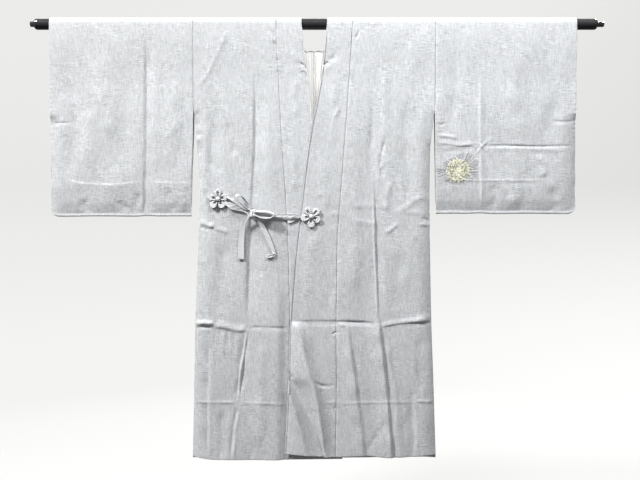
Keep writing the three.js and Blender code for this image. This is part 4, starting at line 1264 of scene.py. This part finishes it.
def tape(name, rows):
    """A flat folded tape through a table's rows, with soft edges and its own small creases."""
    front = BODY_DEPTH + BODY_WALL / 2
    centres = [(row[0], -(front + row[2]), -row[1]) for row in rows]
    count = 14 * (len(rows) - 1) + 1
    line = spline(centres, count)
    at = np.linspace(0, len(rows) - 1, count)
    index = {"index": tuple(range(len(rows)))}
    width = along({**index, "width": [row[3] for row in rows]}, "index", "width", at)
    lean = np.radians(along({**index, "lean": [row[4] for row in rows]}, "index", "lean", at))
    tangent = np.gradient(line, axis=0)
    tangent /= np.linalg.norm(tangent, axis=1, keepdims=True)
    flat = stack(tangent[:, 2], 0 * tangent[:, 0], -tangent[:, 0])
    flat /= np.linalg.norm(flat, axis=1, keepdims=True)
    wide = flat * np.cos(lean)[:, None] + np.array([0, -1, 0]) * np.sin(lean)[:, None]
    wide -= tangent * np.einsum("ij,ij->i", wide, tangent)[:, None]
    wide /= np.linalg.norm(wide, axis=1, keepdims=True)
    thick = np.cross(tangent, wide)
    across = np.linspace(-0.5, 0.5, 15)[None, :]
    length = np.r_[0, np.cumsum(np.linalg.norm(np.diff(line, axis=0), axis=1))]
    ripple = np.sin(length[:, None] / 2.6 + 9 * across + len(name))
    ripple = TAPE_CRINKLE * (ripple + 0.5 * np.sin(length[:, None] / 1.3 - 14 * across))
    rim = 0.45 * hump(np.abs(across), 0.4, 0.07)
    out = ripple * (1 - (2 * across) ** 4) - rim
    middle = line[:, None, :] + wide[:, None, :] * (across * width[:, None])[..., None]
    middle = middle + thick[:, None, :] * out[..., None]
    normal = np.repeat(thick[:, None, :], out.shape[1], 1)
    shell = rounded_shell(f"{name}_cloth", middle, normal, TAPE_WALL)
    shell["length_mm"] = float(length[-1])
    shell["width_mm"] = float(width.mean())
    return shell


def bulge(value):
    return math.copysign(abs(value) ** 0.75, value)


def bow_knot():
    """The knot: tape wound tightly over itself, in slanting folds round a small hollow."""
    turns, levels = 72, 40
    points = []
    for x, z, y in ball_directions(levels, turns):
        fold = 0.1 * math.cos(6 * (0.85 * x - 0.5 * z)) + 0.03 * math.cos(15 * x + 6 * z)
        hollow = 0.6 * math.exp(-(((x - 0.05) / 0.22) ** 2) - ((z - 0.1 + 0.6 * x) / 0.42) ** 2)
        front = max(0, y)
        grow = 0.97 + fold * (0.4 + 0.6 * front**0.5) - hollow * front
        right = bulge(x) * KNOT["half_width"] * grow
        up = bulge(z) * KNOT["half_height"] * grow
        points.append((right, -bulge(y) * KNOT["half_depth"] * grow, up))
    knot = make_mesh("bow_knot_cloth", points, ring_faces(levels, turns))
    weld(knot)
    move_points(knot, (KNOT["across"], -(BODY_DEPTH + BODY_WALL / 2 + KNOT["proud"]), -KNOT["drop"]))
    return knot


# ------------------------------------------------------------------ threads


def strands(name, lines, radius):
    """Many short threads as one mesh: each line is a list of points, tapered at both ends."""
    points, faces = [], []
    for line in lines:
        line = np.asarray(line, float)
        tangent = np.gradient(line, axis=0)
        tangent /= np.maximum(np.linalg.norm(tangent, axis=1, keepdims=True), 1e-9)
        first = np.cross(tangent, np.array([0, 1.0, 0]))
        first /= np.maximum(np.linalg.norm(first, axis=1, keepdims=True), 1e-9)
        second = np.cross(tangent, first)
        share = np.linspace(0, 1, len(line))
        girth = radius * (0.35 + 0.65 * np.sin(np.pi * np.clip(share, 0.02, 0.98)) ** 0.4)
        start = len(points)
        for at in range(len(line)):
            for right, up in circle(1, THREAD_SIDES):
                points.append(line[at] + (first[at] * right + second[at] * up) * girth[at])
        faces.extend(ring_faces(len(line) - 1, THREAD_SIDES, start))
        end = start + (len(line) - 1) * THREAD_SIDES
        faces.append(tuple(start + step for step in reversed(range(THREAD_SIDES))))
        faces.append(tuple(end + step for step in range(THREAD_SIDES)))
    return make_mesh(name, points, faces)


def sleeve_front_y(across, drop):
    """Y of the left sleeve's outer face, for what is sewn on it."""
    sizes = SLEEVES["left"]
    across, drop = np.asarray(across, float), np.asarray(drop, float)
    inner = np.full_like(across, sizes["free_edge"])
    settled = lerp(BODY_DEPTH, SLEEVE_DEPTH, smooth((drop - ARMPIT_DROP) / SLEEVE_SETTLE))
    depth = layer_depth(drop, ROD_RADIUS + SEAM_GAP + BODY_WALL / 2, settled)
    return -(depth + sleeve_relief(LEFT, FRONT, across, drop, inner) + BODY_WALL / 2)


def thread_line(points, lift):
    across = np.array([p[0] for p in points])
    drop = np.array([p[1] for p in points])
    lift = np.asarray(lift) * np.ones(len(points))
    return stack(across, sleeve_front_y(across, drop) - lift, -drop)


def on_roundel(radius, angle):
    return ROUNDEL["across"] + radius * math.cos(angle), ROUNDEL["drop"] - radius * math.sin(angle)


def petal_threads(random):
    """Petals in four rounds, each a fan of curved threads laid side by side."""
    ball = ROUNDEL["ball"]
    threads = []
    for ring, (low, high, petals) in enumerate(PETAL_ROUNDS):
        for petal in range(petals):
            centre = 2 * math.pi * (petal + 0.5 * ring + random.uniform(-0.12, 0.12)) / petals
            half = math.pi / petals
            grow = random.uniform(0.92, 1.04)
            for thread in np.linspace(-1, 1, 7):
                line = []
                for share in np.linspace(0, 1, 6):
                    spread = math.sin(math.pi * (0.2 + 0.72 * share)) ** 0.6
                    radius = ball * lerp(low, high * grow, share) * (1 - 0.07 * thread * thread)
                    angle = centre + thread * half * spread * lerp(0.7, 1, share) + 0.4 * share * (1 - share)
                    line.append(on_roundel(radius, angle))
                height = 0.35 + 0.5 * (1 - thread * thread) + 0.12 * (3 - ring)
                lift = height * np.sin(np.pi * np.linspace(0.12, 0.88, 6)) ** 0.7
                threads.append(thread_line(line, lift))
    return threads


def edge_strokes(random):
    """Short curved strokes that mark the petals' edges."""
    ball = ROUNDEL["ball"]
    strokes = []
    for petal in range(EDGE_STROKES):
        centre = 2 * math.pi * petal / EDGE_STROKES
        inner = random.uniform(0.25, 0.75)
        line = [
            on_roundel(ball * lerp(inner, inner + 0.24, share), centre + 0.3 * math.sin(2.6 * share) - 0.15)
            for share in np.linspace(0, 1, 6)
        ]
        strokes.append(thread_line(line, 1.25))
    return strokes


def needles(random):
    """Separate needles in sprays: long at the left and towards the upper right, short elsewhere."""
    ball, reach = ROUNDEL["ball"], ROUNDEL["reach"]
    lines = []
    for needle in range(NEEDLES):
        angle = 2 * math.pi * (needle + random.uniform(-0.3, 0.3)) / NEEDLES
        spray = max(0, math.cos(angle - 0.8)) ** 3 + max(0, math.cos(angle - 3.14)) ** 4
        spray = spray + 0.7 * max(0, math.cos(angle + 0.35)) ** 8
        start = ball * random.uniform(0.92, 1.04)
        end = ball + (reach - ball) * (0.16 + 0.92 * spray) * random.uniform(0.75, 1.08)
        line = [
            on_roundel(lerp(start, end, share), angle + 0.04 * share * share)
            for share in np.linspace(0, 1, 6)
        ]
        lines.append(thread_line(line, 0.3))
    return lines


def roundel():
    """A round flower of satin stitch with long needles round it, in ivory and silver thread."""
    random = np.random.default_rng(5)
    ivory = petal_threads(random)
    silver = edge_strokes(random)
    for number, line in enumerate(needles(random)):
        target = ivory if number % 5 == 0 else silver
        target.append(line)
    return strands("embroidery_ivory", ivory, 0.5), strands("embroidery_silver", silver, 0.55)


def lining_stitches():
    """The rows of small stitches down the middle of the neck lining, and its overcast upper edge, whose dark
    thread is also painted shade under the collar's scalloped edge.
    """
    radius = ROD_RADIUS + SEAM_GAP + BAND_WALL / 2

    def face(drop):
        behind = LINING_INSET + LINING_WALL / 2 + LINING_PROUD + 0.9
        return layer_depth(drop, radius, BODY_DEPTH) - behind

    rows = []
    for column in (-1.4, 3.4):
        for number in range(30):
            drop = LINING_FROM + 8 + 5.6 * number + column
            x = column + 0.4 * math.sin(number * 1.7)
            stitch = [(x, face(drop) + lift, -drop - down) for lift, down in ((0.4, 0), (0, 1.4), (0.4, 2.8))]
            rows.append(stitch)
    # painted shade: the dark overcast thread along the lining's top edge also stands for the shade under the
    # collar's scalloped edge
    edge = []
    for number in range(-2, 2):
        loop = []
        for share in np.linspace(0.04, 0.96, 9):
            x = SCALLOP * (number + share)
            z = SCALLOP_HEIGHT * (math.sin(math.pi * share) - 0.5) - LINING_FROM - 0.6
            loop.append((x, face(LINING_FROM) + 0.6, z))
        edge.append(loop)
    return strands("lining_stitches", rows, 0.8), strands("lining_overcast_and_shade", edge, 1.15)


# ------------------------------------------------------------------ materials


def new_material(name):
    material = bpy.data.materials.new(name)
    material.use_nodes = True
    nodes = material.node_tree.nodes
    nodes.clear()
    output = nodes.new("ShaderNodeOutputMaterial")
    shader = nodes.new("ShaderNodeBsdfPrincipled")
    material.node_tree.links.new(shader.outputs["BSDF"], output.inputs["Surface"])
    MATERIALS[name] = material
    return material, nodes, material.node_tree.links, shader


def noise(nodes, links, stretch, scale, detail):
    """A noise stretched by its own scale along each axis of the object's space, in metres."""
    place = nodes.new("ShaderNodeTexCoord")
    mapping = nodes.new("ShaderNodeMapping")
    mapping.inputs["Scale"].default_value = stretch
    texture = nodes.new("ShaderNodeTexNoise")
    texture.inputs["Scale"].default_value = scale
    texture.inputs["Detail"].default_value = detail
    texture.inputs["Roughness"].default_value = 0.55
    links.new(place.outputs["Object"], mapping.inputs["Vector"])
    links.new(mapping.outputs["Vector"], texture.inputs["Vector"])
    return texture.outputs["Fac"]


def calculate(nodes, links, kind, a, b):
    """A math node of two values, each a number or another node's output."""
    node = nodes.new("ShaderNodeMath")
    node.operation = kind
    for socket, value in zip(node.inputs, (a, b)):
        if isinstance(value, (int, float)):
            socket.default_value = value
        else:
            links.new(value, socket)
    return node.outputs[0]


def map_range(nodes, links, value, before, after):
    node = nodes.new("ShaderNodeMapRange")
    node.inputs["From Min"].default_value, node.inputs["From Max"].default_value = before
    node.inputs["To Min"].default_value, node.inputs["To Max"].default_value = after
    links.new(value, node.inputs["Value"])
    return node.outputs["Result"]


def add_bump(nodes, links, shader, height, strength, distance):
    bump = nodes.new("ShaderNodeBump")
    bump.inputs["Strength"].default_value = strength
    bump.inputs["Distance"].default_value = distance
    links.new(height, bump.inputs["Height"])
    links.new(bump.outputs["Normal"], shader.inputs["Normal"])


def colour_between(nodes, links, shader, value, dark, light):
    ramp = nodes.new("ShaderNodeValToRGB")
    ramp.color_ramp.elements[0].color = (*dark, 1)
    ramp.color_ramp.elements[1].color = (*light, 1)
    links.new(value, ramp.inputs["Fac"])
    links.new(ramp.outputs["Color"], shader.inputs["Base Color"])


def silk_material(name, colour, contrast=1.0, gloss=0.55):
    """Slubbed silk: uneven threads both ways, patches of either, a soft sheen, faint clouding."""
    material, nodes, links, shader = new_material(name)

    def times(a, b):
        return calculate(nodes, links, "MULTIPLY", a, b)

    def plus(a, b):
        return calculate(nodes, links, "ADD", a, b)

    def waves(stretch, scale, detail):
        return calculate(nodes, links, "SUBTRACT", noise(nodes, links, stretch, scale, detail), 0.5)

    upright = waves((1, 0.5, 0.08), 800, 1)
    level = waves((0.09, 0.5, 1), 800, 1)
    slub = waves((0.9, 0.5, 0.14), 300, 1)
    speck = waves((1, 1, 1), 900, 1)
    patch = noise(nodes, links, (1, 1, 0.6), 22, 2)
    cloud = waves((1, 1, 0.5), 7, 3)
    level_share = map_range(nodes, links, patch, (0.38, 0.62), (0.5, 1.7))
    threads = plus(upright, times(level, level_share))
    threads = plus(threads, times(slub, 0.35))
    threads = plus(threads, times(speck, 0.8))
    tone = plus(times(threads, 0.72 * contrast), times(cloud, 0.05))
    tinted = nodes.new("ShaderNodeVectorMath")
    tinted.operation = "SCALE"
    tinted.inputs[0].default_value = colour
    links.new(plus(tone, 1.0), tinted.inputs["Scale"])
    links.new(tinted.outputs["Vector"], shader.inputs["Base Color"])
    crinkle = waves((1, 1, 0.55), 46, 3)
    height = plus(times(threads, 0.00022 * contrast), times(crinkle, 0.0009))
    add_bump(nodes, links, shader, height, 1.0, 1.0)
    rough = map_range(nodes, links, threads, (-0.25, 0.25), (gloss + 0.09, gloss - 0.07))
    links.new(rough, shader.inputs["Roughness"])
    shader.inputs["Specular IOR Level"].default_value = 0.35
    shader.inputs["Sheen Weight"].default_value = 0.2
    shader.inputs["Sheen Roughness"].default_value = 0.4
    return material


def thread_material(name, colour):
    material, nodes, links, shader = new_material(name)
    twist = noise(nodes, links, (1, 1, 1), 900, 2)
    colour_between(nodes, links, shader, twist, [0.82 * value for value in colour], colour)
    shader.inputs["Roughness"].default_value = 0.42
    shader.inputs["Sheen Weight"].default_value = 0.2
    return material


def rod_material():
    """Black paint on steel tube: semi-gloss, faintly uneven, with fine rubbed streaks."""
    material, nodes, links, shader = new_material("rod_paint")
    streak = noise(nodes, links, (0.2, 1, 1), 260, 3)
    colour_between(nodes, links, shader, streak, PAINT_DARK, PAINT_LIGHT)
    gloss = map_range(nodes, links, streak, (0, 1), (0.09, 0.16))
    links.new(gloss, shader.inputs["Roughness"])
    add_bump(nodes, links, shader, streak, 0.06, 0.0004)
    return material


def stage_material():
    material, _, _, shader = new_material("stage_paper")
    shader.inputs["Base Color"].default_value = (0.15, 0.15, 0.147, 1)
    shader.inputs["Roughness"].default_value = 0.9
    shader.inputs["Specular IOR Level"].default_value = 0.1
    shader.inputs["Emission Color"].default_value = (1, 1, 0.985, 1)
    shader.inputs["Emission Strength"].default_value = 0.55
    return material


# ------------------------------------------------------------------ rod, stage, light and camera


def rod():
    """The rod turned finely, with the soft edges of its chamfers."""
    soft = 0.6
    profile = [
        (0.01, ROD_NECK_FROM),
        (ROD_NECK_RADIUS - soft, ROD_NECK_FROM),
        (ROD_NECK_RADIUS, ROD_NECK_FROM + soft),
        (ROD_NECK_RADIUS, ROD_FROM),
        (ROD_RADIUS - ROD_CHAMFER - soft, ROD_FROM),
        (ROD_RADIUS - ROD_CHAMFER + soft, ROD_FROM + soft / 2),
        (ROD_RADIUS - soft, ROD_FROM + ROD_CHAMFER - soft),
        (ROD_RADIUS, ROD_FROM + ROD_CHAMFER + soft),
        *[(ROD_RADIUS, at) for at in np.linspace(ROD_FROM + 12, ROD_TO - 12, 40)],
        (ROD_RADIUS, ROD_TO - ROD_CHAMFER - soft),
        (ROD_RADIUS - soft, ROD_TO - ROD_CHAMFER + soft),
        (ROD_RADIUS - ROD_CHAMFER + soft, ROD_TO - soft / 2),
        (ROD_RADIUS - ROD_CHAMFER - soft, ROD_TO),
        (ROD_NECK_RADIUS, ROD_TO),
        (ROD_NECK_RADIUS, ROD_NECK_TO - soft),
        (ROD_NECK_RADIUS - soft, ROD_NECK_TO),
        (0.01, ROD_NECK_TO),
    ]
    points = []
    for radius, at in profile:
        points.extend((at, y, z) for y, z in circle(radius, ROD_SIDES))
    faces = ring_faces(len(profile) - 1, ROD_SIDES)
    faces.append(tuple(reversed(range(ROD_SIDES))))
    faces.append(tuple((len(profile) - 1) * ROD_SIDES + step for step in range(ROD_SIDES)))
    obj = make_mesh("rod_steel", points, faces)
    for polygon in obj.data.polygons:
        polygon.use_smooth = len(polygon.vertices) == 4
    return obj


def stage():
    """A pale floor that curves up all round into a low wall, open at the top."""
    flat = STAGE_RADIUS - STAGE_BEND
    profile = [(flat, 0.0)]
    for step in range(1, 13):
        angle = math.pi / 2 * step / 12
        profile.append((flat + STAGE_BEND * math.sin(angle), STAGE_BEND - STAGE_BEND * math.cos(angle)))
    profile.append((STAGE_RADIUS, STAGE_HEIGHT))
    points = []
    for radius, height in profile:
        points.extend((x, y, FLOOR_Z + height) for x, y in circle(radius, STAGE_SIDES))
    faces = [tuple(reversed(face)) for face in ring_faces(len(profile) - 1, STAGE_SIDES)]
    faces.append(tuple(range(STAGE_SIDES)))
    mesh = bpy.data.meshes.new("stage_floor")
    mesh.from_pydata(points, [], faces)
    for polygon in mesh.polygons:
        polygon.use_smooth = len(polygon.vertices) == 4
    obj = bpy.data.objects.new("stage_floor", mesh)
    bpy.context.collection.objects.link(obj)
    obj.data.materials.append(MATERIALS["stage_paper"])
    # the room is only a backdrop: it throws no light back on the coat
    obj.visible_diffuse = False
    obj.visible_glossy = False
    obj.visible_shadow = False
    return obj


def area_light(name, place, aim, size, power, colour=(1, 1, 1)):
    data = bpy.data.lights.new(name, "AREA")
    data.shape = "RECTANGLE"
    data.size, data.size_y = size
    data.energy = power
    data.color = colour
    obj = bpy.data.objects.new(name, data)
    obj.location = place
    obj.rotation_euler = (Vector(aim) - Vector(place)).to_track_quat("-Z", "Y").to_euler()
    obj.visible_camera = False
    bpy.context.collection.objects.link(obj)


def lights():
    middle = (0, 0, -0.45)
    for face, turn in ((1, "front"), (-1, "back")):
        key_at = (-3.05 * face, -1.95 * face, 2.85)
        area_light(f"key_{turn}", key_at, middle, (0.8, 0.6), KEY_POWER, (1, 0.995, 0.985))
        area_light(f"top_{turn}", (0.6 * face, -0.9 * face, 1.0), middle, (0.6, 0.3), TOP_POWER)
        area_light(f"strip_{turn}", (0, -0.9 * face, 1.0), (0, 0, 0), (3.2, 0.05), STRIP_POWER)
    # soft light from all round, stronger from above
    world = bpy.data.worlds.new("studio")
    world.use_nodes = True
    nodes, links = world.node_tree.nodes, world.node_tree.links
    place = nodes.new("ShaderNodeTexCoord")
    split = nodes.new("ShaderNodeSeparateXYZ")
    links.new(place.outputs["Generated"], split.inputs[0])
    strength = map_range(nodes, links, split.outputs["Z"], (-0.6, 0.8), (0.12, 0.5))
    background = nodes["Background"]
    background.inputs["Color"].default_value = (0.97, 0.985, 1, 1)
    links.new(strength, background.inputs["Strength"])
    bpy.context.scene.world = world


def camera():
    """Level, straight in front of the coat."""
    data = bpy.data.cameras.new("camera")
    data.sensor_width = SENSOR
    data.lens = SENSOR * FOCAL_PIXELS / FRAME_PIXELS
    obj = bpy.data.objects.new("camera", data)
    obj.location = (CAMERA_X, -CAMERA_DISTANCE, CAMERA_Z)
    obj.rotation_euler = (math.pi / 2, 0, 0)
    bpy.context.collection.objects.link(obj)
    bpy.context.scene.camera = obj
    bpy.context.scene.view_settings.view_transform = "Standard"
    bpy.context.scene.view_settings.look = "None"


# ------------------------------------------------------------------ the whole coat


def dress(obj, material, slot, *nodes):
    obj.data.materials.clear()
    obj.data.materials.append(MATERIALS[material])
    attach(obj, "root")
    if nodes:
        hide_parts(*nodes)
    return obj


def make_materials():
    silk_material("silver_silk", SILK_COLOUR)
    silk_material("silver_satin", SATIN_COLOUR, 0.25, 0.42)
    lining_silk = silk_material("white_lining_painted_light", LINING_COLOUR, 0.4)
    # painted light: the lining glows to lift the shade that the bands cast on it, standing for light that
    # comes to the lining through the thin silk
    shader = lining_silk.node_tree.nodes["Principled BSDF"]
    shader.inputs["Emission Color"].default_value = (1, 0.99, 0.97, 1)
    shader.inputs["Emission Strength"].default_value = LINING_PAINTED_LIGHT
    thread_material("ivory_thread", IVORY_COLOUR)
    thread_material("silver_thread", SILVER_COLOUR)
    rod_material()
    stage_material()


def dress_garment():
    """Bodies, bands, sleeves and the neck lining, all hung on the rod."""
    for side in (RIGHT, LEFT):
        name = SIDE_NAMES[side]
        body = dress(body_panel(side), "silver_silk", "silk", f"body_{name}")
        strip = dress(band(side), "silver_silk", "silk", f"band_{name}")
        bag = dress(sleeve(side), "silver_silk", "silk", f"sleeve_{name}")
    lining = dress(neck_lining(), "white_lining_painted_light", "lining", "neck_lining")
    for threads in lining_stitches():
        dress(threads, "silver_thread", "lining")


def dress_trimmings():
    """Rosettes, bow, ties and embroidery."""
    for name, sizes in ROSETTES.items():
        dress(rosette(name, sizes), "silver_satin", "silk", name)
    knot = dress(bow_knot(), "silver_satin", "silk", "bow_knot")
    for name, rows in TAPES.items():
        ribbon = dress(tape(name, rows), "silver_satin", "silk", name)
    for threads, material in zip(roundel(), ("ivory_thread", "silver_thread")):
        dress(threads, material, "silk")


def main():
    camera()
    lights()
    make_materials()
    stage()
    bar = dress(rod(), "rod_paint", "rod_paint", "rod")
    dress_garment()
    dress_trimmings()


main()
